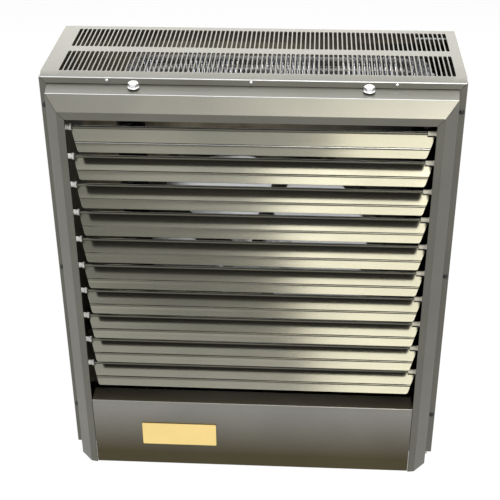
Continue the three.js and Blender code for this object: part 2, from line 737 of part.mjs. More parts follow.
// The outline of the fins: a tube that rises, crosses under the top panel and comes down.
function elementFins(setback) {
  const sides = 10;
  const bottom = -DIVIDER_DROP + ELEMENT_FIN_END_RISE;
  const straight = ELEMENT_HALF_SPAN - ELEMENT_BEND_RADIUS;
  const bendZ = -ELEMENT_TOP_DROP - ELEMENT_BEND_RADIUS;
  const stations = [{ x: -ELEMENT_HALF_SPAN, z: bottom, turn: 0 }];
  for (const { sign } of SIDES) {
    for (let i = 0; i <= ELEMENT_BEND_STEPS; i++) {
      const share = i / ELEMENT_BEND_STEPS;
      const turn = ((sign < 0 ? share : 1 + share) * Math.PI) / 2;
      stations.push({
        x: sign * straight - ELEMENT_BEND_RADIUS * Math.cos(turn),
        z: bendZ + ELEMENT_BEND_RADIUS * Math.sin(turn),
        turn,
      });
    }
  }
  stations.push({ x: ELEMENT_HALF_SPAN, z: bottom, turn: Math.PI });
  const rings = stations.map(({ x, z, turn }) =>
    circleOutline(ELEMENT_FIN_RADIUS, sides).map((p) => [
      ELEMENT_SHIFT + x - p.x * Math.cos(turn),
      setback + p.y,
      z + p.x * Math.sin(turn),
    ]),
  );
  return loft(rings, outlineCap(circleOutline(1, sides)));
}

function heatingElement(index) {
  const setback = ELEMENT_FIRST_SETBACK + index * ELEMENT_PITCH;
  const finEnd = -DIVIDER_DROP + ELEMENT_FIN_END_RISE;
  const legEnd = -DIVIDER_DROP - SHEET - ELEMENT_LEG;
  const legs = SIDES.map(({ sign }) => {
    const x = ELEMENT_SHIFT + sign * ELEMENT_HALF_SPAN;
    return rod("z", ELEMENT_SHEATH_RADIUS, legEnd, finEnd + 1, [x, setback], 12);
  });
  return joined([elementFins(setback), ...legs]);
}

// ---------------------------------------------------------------- controls

const controlFloor = -CABINET_HEIGHT + SHEET + BASE_GAP;

// A block with a narrower terminal deck on top, on the floor of the compartment.
function steppedBlock({ x, width, depth, height, deckDrop, deckInset }) {
  const left = x - width / 2;
  const right = x + width / 2;
  const front = CONTROL_SETBACK;
  const rear = front + depth;
  const top = controlFloor + height;
  const shoulder = top - deckDrop;
  return joined([
    box(left, right, front, rear, controlFloor, shoulder),
    box(
      left + deckInset,
      right - deckInset,
      front + deckInset,
      rear - deckInset,
      shoulder - 1,
      top,
    ),
  ]);
}

// A laminated core between two mounting feet, with the winding standing out of it.
function transformer() {
  const { x, width, depth, height } = TRANSFORMER;
  const left = x - width / 2;
  const right = x + width / 2;
  const top = controlFloor + height;
  const coreFront = CONTROL_SETBACK + TRANSFORMER_CORE_INSET;
  const coreRear = CONTROL_SETBACK + depth - TRANSFORMER_CORE_INSET;
  const footTop = controlFloor + TRANSFORMER_FOOT.height;
  const { reach } = TRANSFORMER_FOOT;
  const { side, end } = TRANSFORMER_WINDING_INSET;
  return joined([
    box(left - reach, right + reach, coreFront, coreRear, controlFloor, footTop),
    box(left, right, coreFront, coreRear, controlFloor, top),
    box(
      left + side,
      right - side,
      CONTROL_SETBACK,
      CONTROL_SETBACK + depth,
      controlFloor + end,
      top - end,
    ),
  ]);
}

// A row of poles with walls between them.
function terminalBlock() {
  const { x, width, depth, height, deck, wall, poles } = TERMINAL;
  const left = x - width / 2;
  const front = CONTROL_SETBACK;
  const rear = front + depth;
  const parts = [box(left, left + width, front, rear, controlFloor, controlFloor + deck)];
  for (let i = 0; i <= poles; i++) {
    const wallLeft = left + (i * (width - wall)) / poles;
    parts.push(box(wallLeft, wallLeft + wall, front, rear, controlFloor, controlFloor + height));
  }
  return joined(parts);
}

// A disc thermostat on a flange, on the upper side of the divider.
function thermalCutout() {
  const base = -DIVIDER_DROP + BASE_GAP;
  const leg = ELEMENT_SHIFT + ELEMENT_HALF_SPAN;
  const centre = [leg - CUTOUT_FROM_LEG, ELEMENT_FIRST_SETBACK + ELEMENT_PITCH];
  const flange = new THREE.BoxGeometry(
    CUTOUT_FLANGE.length,
    CUTOUT_FLANGE.width,
    CUTOUT_FLANGE.height,
  ).translate(centre[0], centre[1], base + CUTOUT_FLANGE.height / 2);
  return joined([
    solid(flange),
    rod("z", CUTOUT_RADIUS, base, base + CUTOUT_HEIGHT, centre, 20),
  ]);
}

// ---------------------------------------------------------------- door

// The door frame's section, out along the side, over the bevel and in over the face:
// u is the distance in from the outer edge, v the distance forward of the cabinet.
const DOOR_SECTION = [
  [0, DOOR_REAR_GAP],
  [0, DOOR_SIDE_DEPTH],
  [BEVEL_WIDTH, DOOR_DEPTH],
  [BEVEL_WIDTH + FACE_WIDTH, DOOR_DEPTH],
  [BEVEL_WIDTH + FACE_WIDTH, DOOR_DEPTH - DOOR_SHEET],
  [BEVEL_WIDTH + DOOR_SHEET * 0.4, DOOR_DEPTH - DOOR_SHEET],
  [DOOR_SHEET, DOOR_SIDE_DEPTH - DOOR_SHEET * 0.4],
  [DOOR_SHEET, DOOR_REAR_GAP],
];

function doorFrame() {
  const stations = [
    (u, v) => [-DOOR_HALF_WIDTH + u, -v, DOOR_BOTTOM],
    (u, v) => [-DOOR_HALF_WIDTH + u, -v, -DOOR_TOP_DROP - u],
    (u, v) => [DOOR_HALF_WIDTH - u, -v, -DOOR_TOP_DROP - u],
    (u, v) => [DOOR_HALF_WIDTH - u, -v, DOOR_BOTTOM],
  ];
  const rings = stations.map((at) => DOOR_SECTION.map(([u, v]) => at(u, v)));
  const outline = DOOR_SECTION.map(([u, v]) => new THREE.Vector2(u, v));
  let frame = loft(rings, outlineCap(outline));
  for (const { sign } of SIDES) {
    const flangeInner = DOOR_HALF_WIDTH - DOOR_SHEET - 1;
    const flangeOuter = DOOR_HALF_WIDTH + 1;
    const screwHole = rod(
      "z",
      SCREW_HOLE_RADIUS,
      -DOOR_TOP_DROP - DOOR_SHEET - 1,
      -DOOR_TOP_DROP + 1,
      [sign * SCREW_HALF_SPACING, -SCREW_SETBACK],
      12,
    );
    const hinge = [HINGE_Y, HINGE_Z];
    const pinHole = sideRod(sign, HINGE_HOLE_RADIUS, flangeInner, flangeOuter, hinge, 12);
    const round = sideRod(
      sign,
      HINGE_SWING_RADIUS,
      flangeInner - 1,
      flangeOuter + 1,
      hinge,
      24,
    );
    const corner = sideBox(
      sign,
      flangeInner,
      flangeOuter,
      HINGE_Y,
      1,
      DOOR_BOTTOM - 1,
      HINGE_Z,
    ).subtract(round);
    frame = frame.subtract(screwHole).subtract(pinHole).subtract(corner);
  }
  return frame;
}

function lowerPanel() {
  const half = FACE_INNER - LOWER_PANEL_SIDE_GAP;
  const front = -DOOR_DEPTH;
  const rear = front + LOWER_PANEL_RETURN;
  return joined([
    box(-half, half, front, front + DOOR_SHEET, DOOR_BOTTOM, LOWER_PANEL_TOP),
    box(-half, half, front, rear, LOWER_PANEL_TOP - DOOR_SHEET, LOWER_PANEL_TOP),
    box(-half, half, front, -HINGE_SETBACK - GAP, DOOR_BOTTOM, DOOR_BOTTOM + DOOR_SHEET),
  ]);
}

function nameplate() {
  const left = PLATE_INSET - FACE_INNER;
  const rear = -DOOR_DEPTH - GAP;
  const top = LOWER_PANEL_TOP - PLATE_DROP;
  return box(left, left + PLATE_WIDTH, rear - PLATE_THICKNESS, rear, top - PLATE_HEIGHT, top);
}

// A hex head on a washer face, with a short shank through the door's top flange.
function doorScrew(sign) {
  const centre = [sign * SCREW_HALF_SPACING, -SCREW_SETBACK];
  const seat = -DOOR_TOP_DROP + GAP;
  const hexRadius = SCREW_HEX_FLATS / Math.sqrt(3);
  const washerTop = seat + SCREW_WASHER_HEIGHT;
  const shankEnd = -DOOR_TOP_DROP - SCREW_SHANK_LENGTH;
  return joined([
    rod("z", SCREW_WASHER_RADIUS, seat, washerTop, centre, 20),
    rod("z", hexRadius, washerTop - 0.2, washerTop + SCREW_HEX_HEIGHT, centre, 6),
    rod("z", SCREW_SHANK_RADIUS, shankEnd, seat + 0.5, centre, 12),
  ]);
}

const louverPivot = (index) => [-LOUVER_PIVOT_DEPTH, -LOUVER_FIRST_DROP - index * LOUVER_PITCH];

function louverCarrier(sign) {
  const inner = CARRIER_OUTER - CARRIER_SHEET;
  const front = -DOOR_DEPTH + DOOR_SHEET + GAP;
  const top = HEAD_INNER - CARRIER_END_GAP;
  const bottom = LOWER_PANEL_TOP + CARRIER_END_GAP;
  let carrier = joined([
    sideBox(sign, inner, CARRIER_OUTER, front, -CARRIER_REAR, bottom, top),
    sideBox(
      sign,
      CARRIER_OUTER - CARRIER_FLANGE,
      CARRIER_OUTER,
      front,
      front + CARRIER_SHEET,
      bottom,
      top,
    ),
  ]);
  for (let i = 0; i < LOUVER_COUNT; i++) {
    const hole = sideRod(
      sign,
      BUSHING_HOLE_RADIUS,
      inner - 1,
      CARRIER_OUTER + 1,
      louverPivot(i),
      8,
    );
    carrier = carrier.subtract(hole);
  }
  return carrier;
}

// A snap-in bushing: a ring outside the carrier, a barrel through it and a collar inside.
function bushing({ name, sign }, index) {
  const sides = 8;
  const collarInner = COLLAR_INNER[name];
  const ringStart = CARRIER_OUTER + GAP;
  const ringEnd = ringStart + SNAP_RING_LENGTH;
  const profile = [
    [BUSHING_BORE_RADIUS, collarInner],
    [COLLAR_RADIUS, collarInner],
    [COLLAR_RADIUS, COLLAR_OUTER],
    [BUSHING_RADIUS, COLLAR_OUTER],
    [BUSHING_RADIUS, ringStart],
    [COLLAR_RADIUS, ringStart],
    [COLLAR_RADIUS, ringEnd],
    [BUSHING_BORE_RADIUS, ringEnd],
    [BUSHING_BORE_RADIUS, collarInner],
  ].map(([radius, out]) => new THREE.Vector2(radius, out));
  const [y, z] = louverPivot(index);
  const ring = new THREE.LatheGeometry(profile, sides);
  ring.rotateZ((-sign * Math.PI) / 2).translate(0, y, z);
  return solid(ring);
}

// One louver, drawn hanging straight down from its pivot with its front to -Y.
// The outline runs down the front face, over the bead, and back up the rear face.
// At the right the blade passes below the bushing's collar and ends past it.
function louver() {
  const faceY = -0.2;
  const backY = faceY + LOUVER_SHEET;
  const beadEdge = CREASE_HALF_WIDTH + 0.3;
  const outline = [
    [faceY, -0.9],
    [faceY, -CREASE_AT + CREASE_HALF_WIDTH],
    [faceY - CREASE_HEIGHT, -CREASE_AT],
    [faceY, -CREASE_AT - CREASE_HALF_WIDTH],
    [faceY, -LOUVER_CHORD],
    [backY, -LOUVER_CHORD],
    [backY, -CREASE_AT - beadEdge],
    [backY - CREASE_HEIGHT, -CREASE_AT],
    [backY, -CREASE_AT + beadEdge],
    [backY, -0.9],
  ];
  const tabEnd = ROLL_RIGHT + LOUVER_RIGHT_TAB;
  const tabTop = -(COLLAR_RADIUS + LOUVER_TAB_GAP);
  const blank = prismAlongX(outline, ROLL_LEFT, tabEnd);
  const leftLow = ROLL_LEFT + LOUVER_LEFT_TAPER;
  const rightLow = tabEnd - LOUVER_RIGHT_TAPER;
  const corner = LOUVER_CORNER;
  const plan = new THREE.Shape(
    [
      [ROLL_LEFT, 0],
      [ROLL_LEFT, -ROLL_RADIUS * 2],
      [leftLow - corner * 0.3, -LOUVER_CHORD + corner],
      [leftLow + corner, -LOUVER_CHORD],
      [rightLow - corner, -LOUVER_CHORD],
      [rightLow + corner * 0.3, -LOUVER_CHORD + corner],
      [tabEnd, tabTop],
      [ROLL_RIGHT, tabTop],
      [ROLL_RIGHT, 0],
    ].map(([x, z]) => new THREE.Vector2(x, z)),
  );
  const planPrism = new THREE.ExtrudeGeometry(plan, { depth: 8, bevelEnabled: false });
  planPrism.rotateX(Math.PI / 2).translate(0, 4, 0);
  const blade = blank.intersect(solid(planPrism));
  return joined([
    blade,
    rod("x", ROLL_RADIUS, ROLL_LEFT, ROLL_RIGHT, [0, 0], 10),
    rod("x", PIN_RADIUS, -PIN_HALF_LENGTH, PIN_HALF_LENGTH, [0, 0], 8),
  ]);
}

// ---------------------------------------------------------------- assembly

place("top_panel", topPanel(), bronzePaint);
SIDES.forEach(({ name, sign }) => place(`side_panel_${name}`, sidePanel(sign), bronzePaint));
place("bottom_panel", bottomPanel(), bronzePaint);
place("back_panel", backPanel(), galvanised);
place("divider_plate", dividerPlate(), galvanised);
place("door_catch_rail", catchRail(), bronzePaint);
SIDES.forEach(({ name, sign }) => place(`hanger_rail_${name}`, hangerRail(sign), bronzePaint));

place("fan_blade", fanBladeAssembly(), aluminium);
place("fan_motor", fanMotor(), blackPaint);
place("rear_cover", rearCover(), bronzePaint);

ELEMENT_NAMES.forEach((name, i) => {
  place(`heating_element_${name}`, heatingElement(i), elementSteel);
});

place("contactor", steppedBlock(CONTACTOR), darkPlastic);
place("control_transformer", transformer(), galvanised);
place("fan_delay_relay", steppedBlock(RELAY), darkPlastic);
place("terminal_block", terminalBlock(), darkPlastic);
place("thermal_cutout", thermalCutout(), galvanised);

place("door_frame", doorFrame(), bronzePaint);
place("lower_panel", lowerPanel(), bronzePaint);
place("nameplate", nameplate(), goldPlate);
SIDES.forEach(({ name, sign }) => {
  place(`door_screw_${name}`, doorScrew(sign), zinc);
  place(`louver_carrier_${name}`, louverCarrier(sign), blackPaint);
});

for (let i = 0; i < LOUVER_COUNT; i++) {
  const number = String(i + 1).padStart(2, "0");
  const [y, z] = louverPivot(i);
  const blade = place(`louver_${number}`, louver(), bronzePaint);
  blade.position.set(0, y, z);
  const tilt = i === 0 ? FIRST_LOUVER_TILT_DEG : LOUVER_TILT_DEG;
  blade.rotation.x = -THREE.MathUtils.degToRad(tilt);
  SIDES.forEach((side) => place(`bushing_${side.name}_${number}`, bushing(side, i), nylon));
}

export default heater;
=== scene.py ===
"""Looks of a ceiling mounted fan heater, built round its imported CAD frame.

Sizes are in millimetres in cabinet coordinates: X to the right and Z up from the middle of
the cabinet's top front edge, with the front towards -Y. row_point turns them into the CAD
frame's metres.
"""

from __future__ import annotations

import logging
import math
from collections.abc import Iterable, Sequence
from dataclasses import dataclass, field, replace
from enum import Enum

import bmesh
import bpy
from mathutils import Matrix, Vector


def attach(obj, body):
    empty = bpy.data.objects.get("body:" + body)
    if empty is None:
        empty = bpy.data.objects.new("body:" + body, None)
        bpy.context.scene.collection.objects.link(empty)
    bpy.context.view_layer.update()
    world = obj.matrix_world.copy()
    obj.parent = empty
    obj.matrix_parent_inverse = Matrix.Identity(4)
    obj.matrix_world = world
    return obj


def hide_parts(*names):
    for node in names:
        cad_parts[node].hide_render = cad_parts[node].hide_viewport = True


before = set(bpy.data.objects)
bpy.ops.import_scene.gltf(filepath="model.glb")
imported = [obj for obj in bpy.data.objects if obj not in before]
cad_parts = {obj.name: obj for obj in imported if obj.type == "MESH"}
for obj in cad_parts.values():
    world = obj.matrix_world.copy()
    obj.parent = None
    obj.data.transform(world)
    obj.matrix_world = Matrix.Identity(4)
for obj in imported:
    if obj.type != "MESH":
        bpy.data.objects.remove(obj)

LOG = logging.getLogger("fan_heater")

Spot = tuple[float, float]
Point = tuple[float, float, float]
Colour = tuple[float, float, float]

MM = 0.001
ORIGIN = Vector((0.0, 139.65, -24.0))
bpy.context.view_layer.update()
SIDES = {"left": -1, "right": 1}

# cabinet
HALF_WIDTH = 177.8
HEIGHT = 393.7
DEPTH = 120.65
SHEET = 1.2
BEND = 1.3
SEAT_GAP = 0.3
# Painted highlight: faces of bends that look up are mixed towards a pale grey, in noisy patches.
HIGHLIGHT_FACES = "bent"
BEND_ANGLES = (3.0, 29.0)
HIGHLIGHT_ABOVE = 0.70
TOP_HIGHLIGHT_ABOVE = 0.40
LEVEL_FACE = 0.9
SHEET_SHARP_DEGREES = 30.0
GRAIN_DEPTH = 0.0002
CRYSTAL_DEPTH = 0.0001
HIGHLIGHT_PATCH_SCALE = 90.0
HIGHLIGHT_LOWEST = 0.8
HIGHLIGHT_GREY = (0.46, 0.47, 0.48)

# door
DOOR_HALF = 171.2
DOOR_TOP = -6.5
DOOR_FRONT = -30.5
DOOR_SHEET = 1.0
FACE_OUTER = 158.6
FACE_INNER = 152.0
PANEL_TOP = -316.5
HINGE = (-6.0, -389.0)
SCREW_X = 97.0
SCREW_Y = -6.0

# louvers
LOUVERS = 10
LOUVER_FIRST = -38.1
LOUVER_PITCH = 27.12
LOUVER_PIVOT_Y = -17.0
LOUVER_TILTS = (35.0, *[46.0] * 9)

# fan
FAN_AXIS = (-6.0, -238.0)
DIVIDER_Z = -318.5


def row_point(point: Sequence[float]) -> Vector:
    """Turns a point in cabinet millimetres into the CAD frame.

    Args:
        point: X, Y and Z in cabinet millimetres.

    Returns:
        The same place in metres in the row frame.
    """
    return (Vector(point) - ORIGIN) * MM


class Axis(Enum):
    """An axis to sweep or turn along. An outline's two numbers fill the other two, in order."""

    X = 0
    Y = 1
    Z = 2

    def place(self, u: float, v: float, along: float) -> Point:
        """Builds a point from an outline's two numbers and a place on the axis.

        Args:
            u: First of the two other coordinates.
            v: Second of the two other coordinates.
            along: Place on this axis.

        Returns:
            The point.
        """
        if self is Axis.X:
            return (along, u, v)
        if self is Axis.Y:
            return (u, along, v)
        return (u, v, along)


# ---------------------------------------------------------------- outlines


def arc(centre: Spot, radius: float, start: float, end: float, steps: int) -> list[Spot]:
    """Points on a circular arc.

    Args:
        centre: Middle of the circle.
        radius: Radius of the circle.
        start: First angle, in degrees.
        end: Last angle, in degrees.
        steps: Number of equal parts.

    Returns:
        steps + 1 points.
    """
    points = []
    for i in range(steps + 1):
        angle = math.radians(start + (end - start) * i / steps)
        points.append((centre[0] + radius * math.cos(angle), centre[1] + radius * math.sin(angle)))
    return points


def rounded(
    points: Sequence[Spot], radius: float, steps: int = 4, loop: bool = False
) -> list[Spot]:
    """Rounds the corners of a line of points.

    Args:
        points: Corners in order.
        radius: Radius of each bend.
        steps: Parts of each bend.
        loop: Whether the last point joins the first.

    Returns:
        The line with each corner as an arc.
    """
    made: list[Spot] = []
    count = len(points)
    for i, spot in enumerate(points):
        if not loop and i in (0, count - 1):
            made.append(spot)
            continue
        here = Vector(spot)
        back = (Vector(points[i - 1]) - here).normalized()
        ahead = (Vector(points[(i + 1) % count]) - here).normalized()
        half = back.angle(ahead) / 2
        reach = radius / math.tan(half)
        middle = here + (back + ahead).normalized() * (radius / math.sin(half))
        first = here + back * reach - middle
        last = here + ahead * reach - middle
        for step in range(steps + 1):
            share = step / steps
            made.append(tuple(middle + first.slerp(last, share)))
    return made


def thickened(points: Sequence[Spot], thickness: float) -> list[Spot]:
    """Gives a line of points a thickness on its right-hand side.

    Args:
        points: The outer face, in order.
        thickness: Sheet thickness. A negative one goes to the left.

    Returns:
        A closed outline.
    """
    inner = []
    last = len(points) - 1
    for i, spot in enumerate(points):
        here = Vector(spot)
        before = (here - Vector(points[i - 1])).normalized() if i else None
        after = (Vector(points[i + 1]) - here).normalized() if i < last else None
        before = before or after
        after = after or before
        normals = [Vector((d.y, -d.x)) for d in (before, after)]
        middle = (normals[0] + normals[1]).normalized()
        inner.append(tuple(here + middle * (thickness / middle.dot(normals[0]))))
    return [tuple(p) for p in points] + inner[::-1]


def circle(radius: float, sides: int, centre: Spot = (0.0, 0.0)) -> list[Spot]:
    """A regular outline. Args: radius, sides, centre. Returns: its points."""
    return arc(centre, radius, 0, 360 * (sides - 1) / sides, sides - 1)


def rectangle(u0: float, u1: float, v0: float, v1: float, corner: float = 0.0) -> list[Spot]:
    """A rectangle, with rounded corners if corner is above 0.

    Args:
        u0: Lowest first coordinate.
        u1: Highest first coordinate.
        v0: Lowest second coordinate.
        v1: Highest second coordinate.
        corner: Corner radius.

    Returns:
        A closed outline.
    """
    points = [(u0, v0), (u1, v0), (u1, v1), (u0, v1)]
    return rounded(points, corner, 4, loop=True) if corner else points


# ---------------------------------------------------------------- solids


@dataclass
class Solid:
    """A mesh being made, in cabinet millimetres."""

    verts: list[Vector] = field(default_factory=list)
    faces: list[tuple[int, ...]] = field(default_factory=list)

    def loft(
        self,
        rings: Sequence[Sequence[Sequence[float]]],
        looped: bool = False,
        round_ring: bool = True,
    ) -> Solid:
        """Adds a skin over rings of as many points each, closed at both ends unless looped.

        Args:
            rings: The rings, in order.
            looped: Whether the last ring joins the first.
            round_ring: Whether the last point of a ring joins its first.

        Returns:
            This solid.
        """
        start = len(self.verts)
        size = len(rings[0])
        count = len(rings)
        self.verts.extend(Vector(p) for ring in rings for p in ring)
        for i in range(count if looped else count - 1):
            a = start + i * size
            b = start + (i + 1) % count * size
            for j in range(size if round_ring else size - 1):
                k = (j + 1) % size
                self.faces.append((a + j, a + k, b + k, b + j))
        if not looped:
            end = start + (count - 1) * size
            self.faces.append(tuple(range(start + size - 1, start - 1, -1)))
            self.faces.append(tuple(range(end, end + size)))
        return self

    def sweep(self, axis: Axis, outline: Sequence[Spot], start: float, end: float) -> Solid:
        """Adds a straight prism. Args: axis, outline, start, end. Returns: this solid."""
        return self.loft([[axis.place(u, v, w) for u, v in outline] for w in (start, end)])

    def block(self, low: Point, high: Point) -> Solid:
        """Adds a box. Args: low and high corners. Returns: this solid."""
        outline = rectangle(low[0], high[0], low[1], high[1])
        return self.sweep(Axis.Z, outline, low[2], high[2])

    def lathe(
        self, axis: Axis, centre: Spot, profile: Sequence[Spot], steps: int = 32
    ) -> Solid:
        """Adds a turned solid.

        Args:
            axis: Axis of the lathe.
            centre: Its place in the two other coordinates.
            profile: Closed outline of (radius, place along the axis).
            steps: Parts of a turn.

        Returns:
            This solid.
        """
        rings = []
        for i in range(steps):
            turn = math.tau * i / steps
            rings.append(
                [
                    axis.place(
                        centre[0] + r * math.cos(turn), centre[1] + r * math.sin(turn), along
                    )
                    for r, along in profile
                ]
            )
        on_axis = profile[0][0] == 0 and profile[-1][0] == 0
        return self.loft(rings, looped=True, round_ring=not on_axis)

    def rod(
        self,
        axis: Axis,
        centre: Spot,
        radius: float,
        start: float,
        end: float,
        edge: float = 0.0,
        steps: int = 24,
    ) -> Solid:
        """Adds a round bar, with chamfered ends if edge is above 0.

        Args:
            axis: Axis of the bar.
            centre: Its place in the two other coordinates.
            radius: Its radius.
            start: One end.
            end: The other end.
            edge: Size of the chamfer.
            steps: Parts of a turn.

        Returns:
            This solid.
        """
        profile = [(0, start), (radius - edge, start)]
        if edge:
            profile += [(radius, start + edge), (radius, end - edge)]
        profile += [(radius - edge, end), (0, end)]
        return self.lathe(axis, centre, profile, steps)

    def tube(self, path: Sequence[Sequence[float]], radius: float, sides: int) -> Solid:
        """Adds a wire along a path.

        Args:
            path: Points of its middle line.
            radius: Radius of the wire.
            sides: Sides of its section.

        Returns:
            This solid.
        """
        points = [Vector(p) for p in path]
        rings = []
        for here, (across, beside) in zip(points, path_frames(points)):
            rings.append([here + across * u + beside * v for u, v in circle(radius, sides)])
        return self.loft(rings)

    def moved(self, matrix: Matrix) -> Solid:
        """Moves every vertex by a matrix. Args: matrix. Returns: this solid."""
        self.verts = [matrix @ v for v in self.verts]
        return self

    def join(self, other: Solid) -> Solid:
        """Adds another solid's mesh. Args: other. Returns: this solid."""
        start = len(self.verts)
        self.verts.extend(other.verts)
        self.faces.extend(tuple(start + i for i in f) for f in other.faces)
        return self


def path_frames(points: Sequence[Vector]) -> list[tuple[Vector, Vector]]:
    """Two directions square to a path at each of its points, carried along without a twist.

    Args:
        points: The path.

    Returns:
        A pair of unit vectors for each point.
    """
    last = len(points) - 1
    frames = []
    across: Vector | None = None
    for i in range(len(points)):
        ahead = (points[min(i + 1, last)] - points[max(i - 1, 0)]).normalized()
        if across is None:
            across = ahead.orthogonal().normalized()
        across = (across - ahead * across.dot(ahead)).normalized()
        frames.append((across.copy(), ahead.cross(across)))
    return frames


def hexagon(axis: Axis, centre: Spot, flats: float, start: float, end: float) -> Solid:
    """A hex bar with a domed far end.

    Args:
        axis: Axis of the bar.
        centre: Its place in the two other coordinates.
        flats: Size across the flats.
        start: Its flat end.
        end: Its domed end.

    Returns:
        The solid.
    """
    radius = flats / math.sqrt(3)
    rings = []
    for share, along in ((1, start), (1, end - 0.5 * (1 if end > start else -1)), (0.88, end)):
        outline = circle(radius * share, 6, centre)
        rings.append([axis.place(u, v, along) for u, v in outline])
    return Solid().loft(rings)


# ---------------------------------------------------------------- finishes


class NodeDesk:
    """Short calls for laying out the nodes of one material."""

    def __init__(self, name: str) -> None:
        """Starts a material. Args: name."""
        self.material = bpy.data.materials.new(name)
        self.material.use_nodes = True
        self.tree = self.material.node_tree
        self.shader = self.tree.nodes["Principled BSDF"]
        self.place = self.node("ShaderNodeTexCoord").outputs["Object"]

    def node(self, kind: str, settings: dict | None = None, **values: object) -> bpy.types.Node:
        """Adds a node.

        Args:
            kind: Blender's name of its type.
            settings: Properties of the node.
            values: Socket names, with _ for a space, and a value or a socket for each.

        Returns:
            The node.
        """
        made = self.tree.nodes.new(kind)
        for key, value in (settings or {}).items():
            setattr(made, key, value)
        for key, value in values.items():
            self.feed(made.inputs[key.replace("_", " ")], value)
        return made

    def feed(self, socket: bpy.types.NodeSocket, value: object) -> None:
        """Links or sets a socket. Args: socket, value."""
        if isinstance(value, bpy.types.NodeSocket):
            self.tree.links.new(value, socket)
        else:
            socket.default_value = value

    def noise(
        self, scale: float, detail: float = 2.0, stretch: Point = (1, 1, 1)
    ) -> bpy.types.NodeSocket:
        """A noise from 0 to 1 over the piece.

        Args:
            scale: Waves to the metre.
            detail: Octaves.
            stretch: How much finer it is along X, Y and Z.

        Returns:
            The noise's value.
        """
        mapping = self.node("ShaderNodeMapping", Vector=self.place, Scale=stretch)
        texture = self.node(
            "ShaderNodeTexNoise", Vector=mapping.outputs[0], Scale=scale, Detail=detail
        )
        return texture.outputs[0]

    def spread(
        self,
        value: bpy.types.NodeSocket,
        low: float,
        high: float,
        start: float = 0.3,
        end: float = 0.7,
    ) -> bpy.types.NodeSocket:
        """Maps a value onto a range.

        Args:
            value: What is mapped.
            low: Result at start.
            high: Result at end.
            start: Value that gives low.
            end: Value that gives high.

        Returns:
            The mapped value.
        """
        made = self.node(
            "ShaderNodeMapRange",
            Value=value,
            From_Min=start,
            From_Max=end,
            To_Min=low,
            To_Max=high,
        )
        return made.outputs[0]

    def blend(
        self, factor: bpy.types.NodeSocket, first: object, second: object
    ) -> bpy.types.NodeSocket:
        """Mixes two colours. Args: factor, first, second. Returns: the colour."""
        made = self.node("ShaderNodeMix", {"data_type": "RGBA"})
        self.feed(made.inputs[0], factor)
        for socket, value in ((made.inputs[6], first), (made.inputs[7], second)):
            self.feed(socket, (*value, 1.0) if isinstance(value, tuple) else value)
        return made.outputs[2]

    def bumped(self, height: bpy.types.NodeSocket, strength: float, distance: float) -> None:
        """Gives the shader a bump. Args: height, strength, distance in metres."""
        bump = self.node(
            "ShaderNodeBump", Height=height, Strength=strength, Distance=distance
        )
        self.feed(self.shader.inputs["Normal"], bump.outputs[0])

    def set(self, **values: object) -> None:
        """Sets the shader's sockets by name, with _ for a space. Args: values."""
        for key, value in values.items():
            if isinstance(value, tuple) and len(value) == 3:
                value = (*value, 1.0)
            self.feed(self.shader.inputs[key.replace("_", " ")], value)


def shade(colour: Colour, share: float) -> Colour:
    """A lighter or darker colour. Args: colour, share. Returns: the colour."""
    return tuple(min(1.0, part * share) for part in colour)


@dataclass(frozen=True)
class Finish:
    """A surface finish, with its variation over the piece and an optional painted highlight on
    bends that look up.
    """

    name: str
    colour: Colour
    metallic: float
    roughness: float
    uneven: float = 0.08
    cloud_scale: float = 14.0
    grain_scale: float = 1600.0
    grain: float = 0.06
    grain_stretch: Point = (1, 1, 1)
    bump: float = 0.05
    bump_scale: float = 900.0
    # Strength of the painted highlight on bends that look up; 0 for none.
    bend_highlight: float = 0.0

    def material(self) -> bpy.types.Material:
        """The finish as a material, made once. Returns: the material."""
        found = bpy.data.materials.get(self.name)
        if found:
            return found
        desk = NodeDesk(self.name)
        self.dress(desk)
        return desk.material

    def dress(self, desk: NodeDesk) -> None:
        """Lays out the nodes. Args: desk."""
        cloud = desk.noise(self.cloud_scale, 3.0)
        broad = self.tint(desk, desk.spread(cloud, 0, 1))
        # Painted highlight: the faces of bends that look up are mixed towards a pale grey, in noisy
        # patches.
        if self.bend_highlight:
            bend = desk.node("ShaderNodeAttribute", {"attribute_name": HIGHLIGHT_FACES}).outputs["Fac"]
            highlight_share = desk.node("ShaderNodeMath", {"operation": "MULTIPLY"})
            desk.feed(highlight_share.inputs[0], bend)
            highlight_patches = desk.noise(HIGHLIGHT_PATCH_SCALE)
            highlight_level = desk.spread(highlight_patches, self.bend_highlight * HIGHLIGHT_LOWEST, self.bend_highlight)
            desk.feed(highlight_share.inputs[1], highlight_level)
            broad = desk.blend(highlight_share.outputs[0], broad, HIGHLIGHT_GREY)
        speck = desk.noise(self.grain_scale, 1.0, self.grain_stretch)
        fine = desk.node("ShaderNodeMix", {"data_type": "RGBA", "blend_type": "MULTIPLY"})
        desk.feed(fine.inputs[0], 1.0)
        desk.feed(fine.inputs[6], broad)
        level = desk.spread(speck, 1 - self.grain, 1 + self.grain)
        desk.feed(fine.inputs[7], level)
        rough = desk.spread(speck, self.roughness * 0.88, self.roughness * 1.12)
        desk.set(Base_Color=fine.outputs[2], Roughness=rough, Metallic=self.metallic)
        if self.bump:
            height = desk.noise(self.bump_scale, 2.0, self.grain_stretch)
            desk.bumped(height, self.bump, GRAIN_DEPTH)

    def tint(self, desk: NodeDesk, cloud: bpy.types.NodeSocket) -> bpy.types.NodeSocket:
        """The colour with its broad variation. Args: desk, cloud from 0 to 1. Returns: it."""
        darker, lighter = shade(self.colour, 1 - self.uneven), shade(self.colour, 1 + self.uneven)
        return desk.blend(cloud, darker, lighter)


